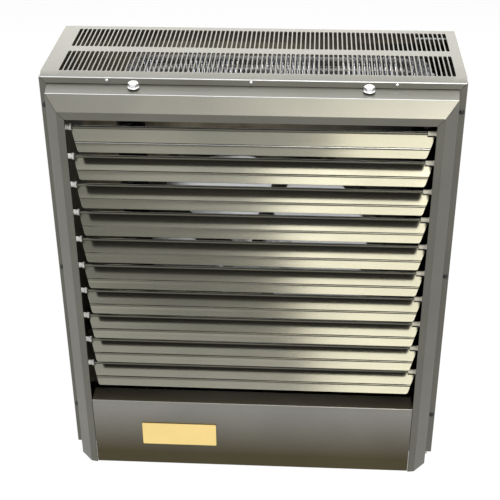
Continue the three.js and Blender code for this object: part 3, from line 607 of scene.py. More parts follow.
@dataclass(frozen=True)
class Graded(Finish):
    """A finish that changes evenly along an axis from its colour to a darker one, used here for
    painted shade.
    """

    painted_shade_colour: Colour = (0.1, 0.1, 0.1)
    axis: int = 2
    span: Spot = (0.0, 1.0)

    def tint(self, desk: NodeDesk, cloud: bpy.types.NodeSocket) -> bpy.types.NodeSocket:
        """The graded colour with its variation. Args: desk, cloud. Returns: the colour."""
        parts = desk.node("ShaderNodeSeparateXYZ", Vector=desk.place)
        far = desk.spread(parts.outputs[self.axis], 0, 1, *self.span)
        ends = [
            desk.blend(cloud, shade(tone, 1 - self.uneven), shade(tone, 1 + self.uneven))
            for tone in (self.colour, self.painted_shade_colour)
        ]
        return desk.blend(far, *ends)


@dataclass(frozen=True)
class Spangled(Finish):
    """Galvanised sheet, with crystals of zinc of different brightness."""

    crystal_scale: float = 160.0

    def dress(self, desk: NodeDesk) -> None:
        """Lays out the nodes. Args: desk."""
        cells = desk.node("ShaderNodeTexVoronoi", Vector=desk.place, Scale=self.crystal_scale)
        grey = desk.node("ShaderNodeRGBToBW", Color=cells.outputs["Color"]).outputs[0]
        colour = desk.blend(grey, shade(self.colour, 0.82), shade(self.colour, 1.12))
        rough = desk.spread(grey, self.roughness * 0.8, self.roughness * 1.25, 0, 1)
        desk.set(Base_Color=colour, Roughness=rough, Metallic=self.metallic)
        desk.bumped(desk.noise(self.bump_scale), self.bump, CRYSTAL_DEPTH)


# Bronze paint, with a painted highlight on its bends that look up.
PAINT = Finish("baked_bronze_paint", (0.131, 0.128, 0.108), 0.66, 0.33, bend_highlight=1.0)
# Lower panel paint: a lighter copy of the bronze paint that turns dark towards the panel's bottom
# edge: painted shade.
LOWER_PANEL_SHADED_PAINT = Graded(
    "panel_paint_painted_shade",
    (0.215, 0.21, 0.19),
    0.66,
    0.33,
    painted_shade_colour=(0.058, 0.047, 0.02),
    span=(-0.300, -0.355),
)
LOUVER_PAINT = Finish("louver_bronze_paint", (0.122, 0.119, 0.094), 0.80, 0.14)
# The louver paint with a painted highlight on the first louver's bead and roll, where they look up.
FIRST_LOUVER_HIGHLIT_PAINT = replace(LOUVER_PAINT, name="first_louver_painted_highlight", bend_highlight=0.7)
# A darker copy of the bronze paint, for the top's rear flange and the lower panel's top return:
# painted shade.
SHADE_PAINT = Finish("bronze_paint_painted_shade", (0.08, 0.07, 0.05), 0.5, 0.42)
# Brown steel for the back, the orifice lip and the divider, painted darker towards the right:
# painted shade.
SHADED_BROWN_STEEL = Graded(
    "brown_steel_painted_shade",
    (0.20, 0.175, 0.125),
    0.7,
    0.45,
    0.25,
    60.0,
    painted_shade_colour=(0.015, 0.015, 0.015),
    axis=0,
    span=(-0.02, 0.13),
)
CARRIER_BLACK = Finish("carrier_black", (0.012, 0.012, 0.012), 0.1, 0.55)
GALVANISED = Spangled("galvanised_sheet", (0.55, 0.56, 0.57), 0.85, 0.42)
ALUMINIUM = Finish(
    "rolled_aluminium", (0.80, 0.81, 0.83), 0.95, 0.34, 0.05, 9.0, 700.0, 0.07, (1, 1, 9), 0.04
)
# Bright fin steel, painted dark below the top run of the elements: painted shade.
FIN_STEEL = Graded(
    "fin_steel",
    (0.58, 0.59, 0.62),
    0.9,
    0.32,
    0.18,
    40.0,
    1200.0,
    0.1,
    painted_shade_colour=(0.03, 0.03, 0.035),
    span=(-0.004, -0.030),
)
SHEATH_STEEL = Finish("sheath_steel", (0.12, 0.115, 0.115), 0.8, 0.45, 0.2, 30.0)
ZINC = Finish("bright_zinc", (0.83, 0.84, 0.85), 0.9, 0.3, 0.05, 60.0, 2500.0, 0.05)
DARK_SCREW = Finish("dark_screw", (0.03, 0.03, 0.03), 0.5, 0.4)
GOLD = Finish(
    "satin_gold", (0.93, 0.70, 0.28), 0.75, 0.34, 0.04, 20.0, 900.0, 0.05, (1, 1, 14), 0.03
)
NYLON = Finish("natural_nylon", (0.90, 0.90, 0.88), 0.0, 0.42, 0.04, 80.0, 3000.0, 0.03)
# A cream copy of the nylon, for the right-hand bushings.
CREAM_NYLON = replace(NYLON, name="cream_nylon", colour=(0.86, 0.82, 0.68))
ENAMEL = Finish("black_enamel", (0.018, 0.018, 0.02), 0.1, 0.38, 0.3, 30.0)
MOULDED = Finish("black_moulding", (0.025, 0.025, 0.028), 0.0, 0.5, 0.2, 50.0, 3000.0, 0.1)
LAMINATION = Finish(
    "core_steel", (0.30, 0.30, 0.32), 0.8, 0.45, 0.1, 30.0, 900.0, 0.25, (1, 1, 12), 0.2
)
WINDING = Finish("amber_winding", (0.42, 0.24, 0.08), 0.0, 0.45, 0.1, 60.0, 900.0, 0.1)
STEATITE = Finish("white_ceramic", (0.80, 0.77, 0.70), 0.0, 0.5, 0.05, 60.0)
BRASS = Finish("terminal_brass", (0.72, 0.52, 0.22), 0.95, 0.35, 0.1, 90.0)


# ---------------------------------------------------------------- making pieces


def mark_highlight_bends(mesh: bpy.types.Mesh, above: float = HIGHLIGHT_ABOVE) -> None:
    """Marks the faces of bends that look up, which get a painted highlight. Args: mesh, least rise.
    """
    work = bmesh.new()
    work.from_mesh(mesh)
    mark = work.faces.layers.float.new(HIGHLIGHT_FACES)
    low, high = (math.radians(angle) for angle in BEND_ANGLES)
    for face in work.faces:
        bent = [
            edge
            for edge in face.edges
            if len(edge.link_faces) == 2 and low < edge.calc_face_angle_signed() < high
        ]
        face[mark] = 1.0 if len(bent) >= 2 and face.normal.z > above else 0.0
    work.to_mesh(mesh)
    work.free()


def tidy_mesh(mesh: bpy.types.Mesh, edge: float, sharp_degrees: float) -> None:
    """Joins doubled points, turns faces outward and rounds the sharp edges.

    Args:
        mesh: The mesh, in metres.
        edge: Width of the rounding, in millimetres, or 0.
        sharp_degrees: Edges sharper than this are rounded and shaded as edges.
    """
    work = bmesh.new()
    work.from_mesh(mesh)
    bmesh.ops.remove_doubles(work, verts=work.verts, dist=1e-6)
    bmesh.ops.dissolve_degenerate(work, edges=work.edges, dist=1e-7)
    bmesh.ops.recalc_face_normals(work, faces=work.faces)
    if edge:
        limit = math.radians(sharp_degrees)
        sharp = [e for e in work.edges if len(e.link_faces) == 2 and e.calc_face_angle() > limit]
        bmesh.ops.bevel(
            work,
            geom=sharp,
            offset=edge * MM,
            segments=2,
            profile=0.5,
            affect="EDGES",
            clamp_overlap=True,
        )
    work.to_mesh(mesh)
    work.free()
    mesh.shade_smooth()
    mesh.set_sharp_from_angle(angle=math.radians(sharp_degrees))


def mesh_object(name: str, solid: Solid) -> bpy.types.Object:
    """Turns a solid into a Blender object in the row frame. Args: name, solid. Returns: it."""
    mesh = bpy.data.meshes.new(name)
    mesh.from_pydata([tuple(row_point(v)) for v in solid.verts], [], solid.faces)
    made = bpy.data.objects.new(name, mesh)
    bpy.context.scene.collection.objects.link(made)
    return made


def settle(made: bpy.types.Object) -> None:
    """Applies an object's modifiers to its mesh. Args: made."""
    depsgraph = bpy.context.evaluated_depsgraph_get()
    old = made.data
    made.data = bpy.data.meshes.new_from_object(made.evaluated_get(depsgraph))
    made.modifiers.clear()
    made.data.name = made.name
    bpy.data.meshes.remove(old)


def weigh_normals(made: bpy.types.Object) -> None:
    """Lets large flat faces set the shading of the rounded edges beside them. Args: made."""
    weigh = made.modifiers.new("weigh", "WEIGHTED_NORMAL")
    weigh.keep_sharp = True
    settle(made)


def carve(made: bpy.types.Object, cutter: Solid) -> None:
    """Cuts a solid out of a piece. Args: made, cutter."""
    tool = mesh_object(made.name + "_cutter", cutter)
    for mesh in (made.data, tool.data):
        tidy_mesh(mesh, 0, SHEET_SHARP_DEGREES)
    cut = made.modifiers.new("cut", "BOOLEAN")
    cut.operation = "DIFFERENCE"
    cut.solver = "EXACT"
    cut.object = tool
    settle(made)
    bpy.data.objects.remove(tool)


def piece(
    name: str,
    solid: Solid,
    finish: Finish,
    body: str,
    stands_for: Iterable[str] = (),
    edge: float = 0.0,
    sharp_degrees: float = 32.0,
    cutter: Solid | None = None,
) -> bpy.types.Object:
    """Makes one visible piece, puts it on its body's empty and hides the CAD nodes that it
    replaces.

    Args:
        name: Name of the piece.
        solid: Its mesh, in cabinet millimetres.
        finish: Its finish.
        body: CAD body that it rides on.
        stands_for: CAD nodes that it replaces.
        edge: Rounding of its sharp edges, in millimetres.
        sharp_degrees: Angle above which an edge is sharp.
        cutter: What is cut out of it.

    Returns:
        The object.
    """
    made = mesh_object(name, solid)
    if cutter:
        carve(made, cutter)
    tidy_mesh(made.data, edge, sharp_degrees)
    # Finishes with a painted highlight mark the faces of their bends that look up.
    if finish.bend_highlight:
        mark_highlight_bends(made.data)
    weigh_normals(made)
    made.data.materials.clear()
    made.data.materials.append(finish.material())
    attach(made, body)
    names = list(stands_for)
    if names:
        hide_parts(*names)
    LOG.info("%s: %d faces on %s", name, len(made.data.polygons), body)
    return made


def refinish(node: str, finish: Finish) -> None:
    """Gives a CAD node that keeps its shape its finish. Args: node, finish."""
    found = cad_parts[node]
    found.data.materials.clear()
    found.data.materials.append(finish.material())
    LOG.info("%s keeps its CAD shape", node)


# ---------------------------------------------------------------- cabinet


@dataclass
class Cabinet:
    """The sheet-metal cabinet round the fan and the elements."""

    slot_pitch: float = 4.06
    slot_width: float = 3.0
    slot_shift: float = 3.0
    slots_per_row: int = 82
    slot_rows: tuple[Spot, ...] = ((12.8, 58.0), (69.5, 113.5))
    top_flange: float = 6.0
    top_bend: float = 2.2
    front_flange: float = 6.9
    rear_flange: float = 12.0
    orifice_radius: float = 131.0
    lip_depth: float = 5.0
    band_screw_x: tuple[float, ...] = (-120.0, 0.0, 120.0)
    side_screw_x: float = 174.4
    side_screw_z: tuple[float, ...] = (-26.0, -187.0, -346.5)
    back_screw_x: tuple[float, ...] = (-150.0, -50.0, 50.0, 150.0)
    back_screw_z: Spot = (-8.0, -384.0)
    band_rivet_z: float = -3.2
    slot_border: float = 1.0
    top_rear_drop: float = 12.0
    tab_bar: tuple[Point, Point] = ((142.0, 108.6, -4.2), (171.5, 111.4, -3.2))
    tab_wall: tuple[Point, Point] = ((171.5, 105.0, -9.0), (172.6, 115.0, -3.2))

    def build(self) -> None:
        """Builds every piece of the cabinet."""
        self.top_panel()
        for name, sign in SIDES.items():
            self.side_panel(name, sign)
        self.back_panel()
        self.screws()
        self.inner_tab()
        refinish("bottom_panel", PAINT)
        refinish("door_catch_rail", PAINT)
        # The divider gets the brown steel with painted shade towards the right.
        refinish("divider_plate", SHADED_BROWN_STEEL)

    def slot_cell(self, skin: Solid, middle: float, front: float, rear: float) -> None:
        """Adds one slot with the sheet round it.

        Args:
            skin: The sheet's outer face.
            middle: X of the slot.
            front: Front end of the slot.
            rear: Rear end of the slot.
        """
        half = self.slot_pitch / 2
        radius = self.slot_width / 2
        steps = 6
        for sign, tip in ((-1, front), (1, rear)):
            centre = (middle, tip - sign * radius)
            edge = arc(centre, radius, 180, 180 - sign * 180, steps)
            left = (middle - half, tip + sign * self.slot_border)
            right = (middle + half, tip + sign * self.slot_border)
            start = len(skin.verts)
            skin.verts.extend(Vector((x, y, 0)) for x, y in (left, right, *edge))
            top = 2 + steps // 2
            fans = [(0, 2 + i, 3 + i) for i in range(steps // 2)]
            fans += [(1, 2 + i, 3 + i) for i in range(steps // 2, steps)]
            fans.append((0, top, 1))
            skin.faces.extend(tuple(start + i for i in fan) for fan in fans)
        for side in (-1, 1):
            outer = middle + side * half
            inner = middle + side * radius
            y0, y1 = front + radius, rear - radius
            start = len(skin.verts)
            low, high = front - self.slot_border, rear + self.slot_border
            spots = [(outer, low), (inner, y0), (inner, y1), (outer, high)]
            skin.verts.extend(Vector((x, y, 0)) for x, y in spots)
            skin.faces.append(tuple(range(start, start + 4)))

    def top_panel(self) -> None:
        """Builds the slotted top with its bent front flange."""
        skin = Solid()
        reach = self.slots_per_row * self.slot_pitch / 2
        first = self.slot_shift - reach
        lines = [first + i * self.slot_pitch for i in range(self.slots_per_row + 1)]

        def strip(y0: float, z0: float, y1: float, z1: float, cells: bool = True) -> None:
            """Adds a strip of sheet. Args: y0, z0, y1, z1, cells between the margins."""
            ends = [HALF_WIDTH + min(0.0, z) for z in (z0, z1)]
            xs = [(-ends[0], -ends[1]), *((x, x) for x in lines), (ends[0], ends[1])]
            for i, (a, b) in enumerate(zip(xs, xs[1:])):
                if not cells and 0 < i < len(xs) - 2:
                    continue
                start = len(skin.verts)
                spots = ((a[0], y0, z0), (b[0], y0, z0), (b[1], y1, z1), (a[1], y1, z1))
                skin.verts.extend(Vector(p) for p in spots)
                skin.faces.append(tuple(range(start, start + 4)))

        corners = [(0, -self.top_flange), (0, 0), (self.slot_rows[0][0] - self.slot_border, 0)]
        line = rounded(corners, self.top_bend, 6)
        for (y0, z0), (y1, z1) in zip(line, line[1:]):
            strip(y0, z0, y1, z1)
        previous = None
        for front, rear in self.slot_rows:
            if previous is not None:
                strip(previous, 0, front - self.slot_border, 0)
            strip(front - self.slot_border, 0, rear + self.slot_border, 0, cells=False)
            for i in range(self.slots_per_row):
                self.slot_cell(skin, lines[i] + self.slot_pitch / 2, front, rear)
            previous = rear + self.slot_border
        strip(previous, 0, DEPTH, 0)
        made = mesh_object("top_panel_sheet", skin)
        tidy_mesh(made.data, 0, SHEET_SHARP_DEGREES)
        work = bmesh.new()
        work.from_mesh(made.data)
        if sum(f.normal.z for f in work.faces) < 0:
            bmesh.ops.reverse_faces(work, faces=work.faces)
        work.to_mesh(made.data)
        work.free()
        thick = made.modifiers.new("thick", "SOLIDIFY")
        thick.thickness = SHEET * MM
        thick.offset = -1
        thick.use_even_offset = True
        settle(made)
        made.data.materials.clear()
        made.data.materials.append(PAINT.material())
        made.data.shade_smooth()
        made.data.set_sharp_from_angle(angle=math.radians(SHEET_SHARP_DEGREES))
        # The top's bends that look up get the painted highlight.
        mark_highlight_bends(made.data, TOP_HIGHLIGHT_ABOVE)
        weigh_normals(made)
        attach(made, "cabinet")
        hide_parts("top_panel")
        flange = Solid().block(
            (-HALF_WIDTH + 1.5, DEPTH - 2.7, -self.top_rear_drop),
            (HALF_WIDTH - 1.5, DEPTH - 1.5, -SHEET),
        )
        # The top's rear flange gets the darker paint: painted shade.
        piece("top_rear_flange", flange, SHADE_PAINT, "cabinet", edge=0.2)

    def side_panel(self, name: str, sign: int) -> None:
        """Builds a side with its front and rear flanges. Args: name, sign."""
        corners = [
            (HALF_WIDTH - self.front_flange, 0),
            (HALF_WIDTH, 0),
            (HALF_WIDTH, DEPTH),
            (HALF_WIDTH - self.rear_flange, DEPTH),
        ]
        outline = thickened(rounded(corners, BEND, 5), -SHEET)

        def top_at(x: float, y: float) -> float:
            """Height of the top edge, mitred at the front flange. Args: x, y. Returns: it."""
            return -SEAT_GAP - (HALF_WIDTH - x) if y < SHEET + 0.05 else -SHEET - SEAT_GAP

        rings = [
            [(sign * x, y, -HEIGHT) for x, y in outline],
            [(sign * x, y, -12) for x, y in outline],
            [(sign * x, y, top_at(x, y)) for x, y in outline],
        ]
        solid = Solid().loft(rings)
        piece(
            f"side_sheet_{name}",
            solid,
            PAINT,
            "cabinet",
            [f"side_panel_{name}"],
            sharp_degrees=SHEET_SHARP_DEGREES,
        )

    def back_panel(self) -> None:
        """Builds the back with a rolled orifice."""
        half = HALF_WIDTH - self.rear_flange - SEAT_GAP
        front = DEPTH - SHEET
        top = -SHEET - SEAT_GAP
        plate = Solid().block((-half, front, -HEIGHT), (half, DEPTH, top))
        for low, high in ((-half - 5, -half + 6), (half - 6, half + 5)):
            plate.block((low, front - 1.05, -HEIGHT + 2), (high, front - 0.05, top))
        hole = Solid().rod(
            Axis.Y, FAN_AXIS, self.orifice_radius + self.lip_depth, front - 1, DEPTH + 1, steps=96
        )
        piece(
            "back_sheet",
            plate,
            SHADED_BROWN_STEEL,
            "cabinet",
            ["back_panel"],
            edge=0.2,
            cutter=hole,
        )
        outer = self.orifice_radius + self.lip_depth
        line = [(outer + 0.02, DEPTH)]
        line += arc((outer, DEPTH - self.lip_depth), self.lip_depth, 90, 180, 8)
        line.append((self.orifice_radius, DEPTH - self.lip_depth - 1))
        lip = Solid().lathe(Axis.Y, FAN_AXIS, thickened(line, SHEET), 96)
        piece("orifice_lip", lip, SHADED_BROWN_STEEL, "cabinet")

    def screws(self) -> None:
        """Builds the small screws of the band, the sides and the back."""
        band = Solid()
        for x in self.band_screw_x:
            dome = [(0, 0.4), (1.3, 0.4), (1.3, -0.1), (0.9, -0.5), (0, -0.65)]
            band.lathe(Axis.Y, (x, self.band_rivet_z), dome, 16)
        piece("band_rivets", band, ZINC, "cabinet")
        sides = Solid()
        for sign in SIDES.values():
            for z in self.side_screw_z:
                dome = [(0, 0.3), (2.3, 0.3), (2.3, -0.2), (1.6, -0.9), (0, -1.2)]
                sides.lathe(Axis.Y, (sign * self.side_screw_x, z), dome, 20)
        piece("side_screws", sides, DARK_SCREW, "cabinet")
        back = Solid()
        for x in self.back_screw_x:
            for z in self.back_screw_z:
                back.join(hexagon(Axis.Y, (x, z), 6.4, DEPTH - 0.3, DEPTH + 3.2))
                back.rod(Axis.Y, (x, z), 4.2, DEPTH - 0.2, DEPTH + 0.7, 0.2)
        piece("back_screws", back, ZINC, "cabinet", edge=0.15)

    def inner_tab(self) -> None:
        """Builds the tab that shows under the rear ends of the last slots."""
        tab = Solid().block(*self.tab_bar).block(*self.tab_wall)
        piece("corner_tab", tab, GALVANISED, "cabinet", edge=0.15)


@dataclass
class HangerRails:
    """The two channels behind the cabinet that it hangs or mounts by, in their CAD shape."""

    nodes: tuple[str, ...] = ("hanger_rail_left", "hanger_rail_right")

    def build(self) -> None:
        """Gives both rails their finish."""
        for node in self.nodes:
            refinish(node, PAINT)


# ---------------------------------------------------------------- fan


@dataclass
class FanUnit:
    """The axial fan, its motor and the slotted rear cover that carries it."""

    radius: float = 124.0
    blades: int = 5
    first_degrees: float = 112.0
    front: float = 94.0
    depth: float = 15.0
    blade_sheet: float = 1.2
    blade_edges: tuple[Point, ...] = (
        (0.0, 20.0, 20.0),
        (0.2, 24.5, 24.5),
        (0.35, 28.0, 26.8),
        (0.5, 31.8, 27.4),
        (0.66, 34.4, 27.5),
        (0.78, 34.0, 27.1),
        (0.87, 31.4, 26.0),
        (0.92, 28.2, 24.6),
        (0.96, 23.2, 22.0),
        (0.985, 17.0, 18.4),
        (1.0, 9.0, 14.0),
    )
    blade_steps: int = 16
    camber: float = 1.4
    spider_arm: tuple[Spot, ...] = ((12, 9.5), (30, 9.0), (44, 7.5), (50, 4.0))
    spider_tilt: float = 0.21
    rivet_places: tuple[Spot, ...] = ((32, -4.5), (32, 4.5), (44, 0))
    hub_radius: float = 20.0
    motor_radius: float = 41.0
    motor_front: float = 113.5
    motor_rear: float = 154.5
    cover_half: float = 146.7
    cover_reach: float = 140.0
    cover_sheet: float = 1.2
    cover_front: float = 120.95
    cover_rear: float = 156.0
    cover_slot: Spot = (36.0, 12.0)
    cover_columns: int = 6
    cover_rows: int = 8
    cover_spacing: Spot = (47.0, 32.7)
    cover_first_row: float = 33.7
    cover_margin: float = 45.0

    def build(self) -> None:
        """Builds the fan, the motor and the cover."""
        self.fan()
        self.motor()
        self.cover()

    def blade(self, centre_degrees: float) -> Solid:
        """One twisted blade with rounded corners. Args: centre_degrees. Returns: the solid."""
        across = self.blade_steps
        root = self.hub_radius - 2
        rings = []
        for reach, lower, upper in self.blade_edges:
            radius = root + (self.radius - root) * reach
            face = []
            for side in (1, -1):
                for j in range(across + 1):
                    part = j / across if side > 0 else 1 - j / across
                    angle = math.radians(centre_degrees - lower + part * (lower + upper))
                    camber = self.camber * (1 - (2 * part - 1) ** 2)
                    pitch = (part - 0.5) * (self.depth - 2.8) - camber
                    y = self.front + self.depth / 2 + pitch + side * self.blade_sheet / 2 + 0.4
                    x = FAN_AXIS[0] + radius * math.cos(angle)
                    face.append((x, y, FAN_AXIS[1] + radius * math.sin(angle)))
            rings.append(face)
        return Solid().loft(rings)

    def fan(self) -> None:
        """Builds the fan's blades, spider, hub and rivets."""
        blades = Solid()
        spider = Solid()
        rivets = Solid()
        middle = self.front + self.depth / 2
        for i in range(self.blades):
            degrees = self.first_degrees + i * 360 / self.blades
            blades.join(self.blade(degrees))
            angle = math.radians(degrees)
            ahead = Vector((math.cos(angle), 0, math.sin(angle)))
            beside = Vector((-math.sin(angle), 0, math.cos(angle)))
            rings = []
            for reach, half in self.spider_arm:
                base = ahead * reach + Vector((FAN_AXIS[0], middle, FAN_AXIS[1]))
                tilt = self.spider_tilt * reach / 30
                rings.append(
                    [
                        base + beside * (s * half) + Vector((0, s * half * tilt + d, 0))
                        for s, d in ((-1, -1.8), (1, -1.8), (1, -0.6), (-1, -0.6))
                    ]
                )
            spider.loft(rings)
            for reach, side in self.rivet_places:
                spot = ahead * reach + beside * side
                y = middle + side * self.spider_tilt - 1.8
                dome = [(0, y + 1), (2.6, y + 1), (2.6, y - 0.2), (1.6, y - 1.2), (0, y - 1.5)]
                centre = (spot.x + FAN_AXIS[0], spot.z + FAN_AXIS[1])
                rivets.lathe(Axis.Y, centre, dome, 14)
        piece(
            "fan_blades",
            blades,
            ALUMINIUM,
            "fan",
            ["fan_blade"],
            sharp_degrees=50,
        )
        hub = Solid().lathe(
            Axis.Y,
            FAN_AXIS,
            [
                (4.0, middle - 6),
                (9.0, middle - 6),
                (10.0, middle - 5),
                (10.0, middle - 2.4),
                (19.0, middle - 2.0),
                (19.6, middle - 0.6),
                (10.0, middle - 0.2),
                (10.0, middle + 6),
                (4.0, middle + 7),
            ],
            40,
        )
        hub.rod(Axis.Y, FAN_AXIS, 4.0, self.front - 2.5, self.motor_front + 10, 0.4)
        grub = (middle - 3.8, FAN_AXIS[1])
        hub.rod(Axis.X, grub, 1.8, FAN_AXIS[0] + 8.5, FAN_AXIS[0] + 12.5, 0.3, 12)
        piece("fan_hub", hub, GALVANISED, "fan", edge=0.2)
        piece("fan_spider", spider, GALVANISED, "fan", edge=0.25)
        piece("fan_rivets", rivets, ZINC, "fan")

    def motor(self) -> None:
        """Builds the motor with its end bells, laminations and through bolts."""
        centre = FAN_AXIS
        big = self.motor_radius
        front, rear = self.motor_front + 4, self.motor_rear
        shell = [(5.0, self.motor_front), (15, self.motor_front), (16, self.motor_front + 1)]
        shell += [(16, front - 0.6), (big - 9, front)]
        shell += arc((big - 7, front + 6), 6, -70, 0, 6)
        shell += [(big - 1, front + 9), (big - 2, front + 10), (big - 2, rear - 11)]
        shell += [(big - 1, rear - 10)]
        shell += arc((big - 7, rear - 6), 6, 0, 80, 6)
        shell += [(17, rear - 1.2), (15.5, rear), (0, rear), (0, rear - 6), (5.0, rear - 8)]
        body = Solid().lathe(Axis.Y, centre, shell, 64)
        vents = Solid()
        for i in range(16):
            angle = math.tau * i / 16
            ahead = Vector((math.cos(angle), math.sin(angle)))
            beside = Vector((-ahead.y, ahead.x)) * 1.3
            near, far = ahead * 21, ahead * 30
            spots = [near - beside, far - beside, far + beside, near + beside]
            outline = [(p.x + FAN_AXIS[0], p.y + FAN_AXIS[1]) for p in spots]
            vents.sweep(Axis.Y, outline, rear - 2.2, rear + 1)
        piece(
            "motor_shell",
            body,
            ENAMEL,
            "cabinet",
            ["fan_motor"],
            cutter=vents,
        )
        core = Solid()
        for i in range(9):
            y = front + 10.6 + i * 1.8
            profile = [(big - 3, y), (big - 0.4, y), (big - 0.4, y + 1.2), (big - 3, y + 1.2)]
            core.lathe(Axis.Y, centre, profile, 64)
        piece("motor_core", core, LAMINATION, "cabinet")
        bolts = Solid()
        for i in range(4):
            angle = math.tau * (i + 0.5) / 4
            spot = (34.2 * math.cos(angle) + FAN_AXIS[0], 34.2 * math.sin(angle) + FAN_AXIS[1])
            bolts.join(hexagon(Axis.Y, spot, 5.5, rear - 1, self.cover_rear + 2.2))
            bolts.rod(Axis.Y, spot, 4.2, self.cover_rear - 0.1, self.cover_rear + 0.5, 0.15)
        piece("motor_bolts", bolts, ZINC, "cabinet", edge=0.1)

    def cover(self) -> None:
        """Builds the slotted pan behind the orifice and the screws in its back."""
        half, rear = self.cover_half, self.cover_rear
        top, bottom = FAN_AXIS[1] + self.cover_reach, FAN_AXIS[1] - self.cover_reach
        corners = [(self.cover_front, top), (rear, top), (rear, bottom), (self.cover_front, bottom)]
        outline = thickened(rounded(corners, 2.2, 5), -self.cover_sheet)
        pan = Solid().sweep(Axis.X, outline, -half, half)
        wide, high = (size / 2 for size in self.cover_slot)
        slots = Solid()
        middle = (self.cover_front + rear) / 2
        for column in range(self.cover_columns):
            x = (column - (self.cover_columns - 1) / 2) * self.cover_spacing[0]
            for z in (top, bottom):
                hole = rectangle(x - wide, x + wide, middle - high, middle + high, high - 0.1)
                slots.sweep(Axis.Z, hole, z - 3, z + 3)
            for row in range(self.cover_rows):
                z = top - self.cover_first_row - row * self.cover_spacing[1]
                aside = max(abs(x - FAN_AXIS[0]) - wide, 0)
                above = max(abs(z - FAN_AXIS[1]) - high, 0)
                if math.hypot(aside, above) < self.cover_margin:
                    continue
                hole = rectangle(x - wide, x + wide, z - high, z + high, high - 0.1)
                slots.sweep(Axis.Y, hole, rear - 3, rear + 2)
        piece(
            "rear_cover_pan",
            pan,
            PAINT,
            "cabinet",
            ["rear_cover"],
            edge=0.15,
            cutter=slots,
        )


# ---------------------------------------------------------------- heating elements


@dataclass
class ElementBank:
    """Three sheathed elements with a spiral fin, each bent to an inverted U."""

    setbacks: tuple[float, ...] = (36.0, 58.0, 80.0)
    names: tuple[str, ...] = ("front", "middle", "rear")
    shift: float = 20.0
    half_span: float = 132.0
    top: float = -15.0
    bend_radius: float = 24.0
    sheath: float = 4.0
    fin: float = 9.4
    fin_pitch: float = 4.4
    fin_sheet: float = 0.45
    fin_bottom: float = -304.5
    leg_bottom: float = -331.7
    steps_per_turn: int = 18

    def build(self) -> None:
        """Builds the three elements with their terminals."""
        for name, setback in zip(self.names, self.setbacks):
            self.element(name, setback)
            self.terminals(name, setback)

    def route(self, setback: float, bottom: float, step: float) -> list[Vector]:
        """Evenly spaced points along an element.

        Args:
            setback: Y of the element.
            bottom: Z where both legs end.
            step: Distance between points.

        Returns:
            The points, from the lower left end to the lower right end.
        """
        bend = self.bend_radius
        side = self.half_span
        rise = self.top - bend - bottom
        quarter = bend * math.pi / 2
        flat = 2 * (side - bend)
        total = 2 * rise + 2 * quarter + flat
        count = round(total / step)
        points = []
        for i in range(count + 1):
            far = total * i / count
            if far <= rise:
                spot = (-side, bottom + far)
            elif far <= rise + quarter:
                turn = (far - rise) / bend
                spot = (-side + bend * (1 - math.cos(turn)), self.top - bend * (1 - math.sin(turn)))
            elif far <= rise + quarter + flat:
                spot = (-side + bend + far - rise - quarter, self.top)
            elif far <= total - rise:
                turn = (far - rise - quarter - flat) / bend
                spot = (side - bend * (1 - math.sin(turn)), self.top - bend * (1 - math.cos(turn)))
            else:
                spot = (side, bottom + total - far)
            points.append(Vector((self.shift + spot[0], setback, spot[1])))
        return points

    def element(self, name: str, setback: float) -> None:
        """Builds the sheath and the fin. Args: name, setback."""
        sheath = Solid().tube(self.route(setback, self.leg_bottom, 6.0), self.sheath, 16)
        piece(f"element_sheath_{name}", sheath, SHEATH_STEEL, "cabinet")
        step = self.fin_pitch / self.steps_per_turn
        points = self.route(setback, self.fin_bottom, step)
        rings = []
        for i, (here, (across, beside)) in enumerate(zip(points, path_frames(points))):
            turn = math.tau * i / self.steps_per_turn
            out = across * math.cos(turn) + beside * math.sin(turn)
            ahead = across.cross(beside) * (self.fin_sheet / 2)
            inner, outer = here + out * (self.sheath - 0.3), here + out * self.fin
            rings.append([inner - ahead, outer - ahead * 0.7, outer + ahead * 0.7, inner + ahead])
        fin = Solid().loft(rings)
        piece(
            f"element_fin_{name}",
            fin,
            FIN_STEEL,
            "cabinet",
            [f"heating_element_{name}"],
            sharp_degrees=50,
        )

    def terminals(self, name: str, setback: float) -> None:
        """Builds the ceramic end and the threaded stud of each leg. Args: name, setback."""
        ceramic, stud = Solid(), Solid()
        for sign in SIDES.values():
            centre = (self.shift + sign * self.half_span, setback)
            low = self.leg_bottom
            ceramic.rod(Axis.Z, centre, 3.2, low - 3.0, low + 0.5, 0.4, 20)
            stud.rod(Axis.Z, centre, 1.9, low - 9.0, low - 2.5, 0.3, 12)
            stud.join(hexagon(Axis.Z, centre, 6.0, low - 3.2, low - 5.8))
        piece(f"element_ceramic_{name}", ceramic, STEATITE, "cabinet")
        piece(f"element_stud_{name}", stud, BRASS, "cabinet", edge=0.1)


# ---------------------------------------------------------------- controls


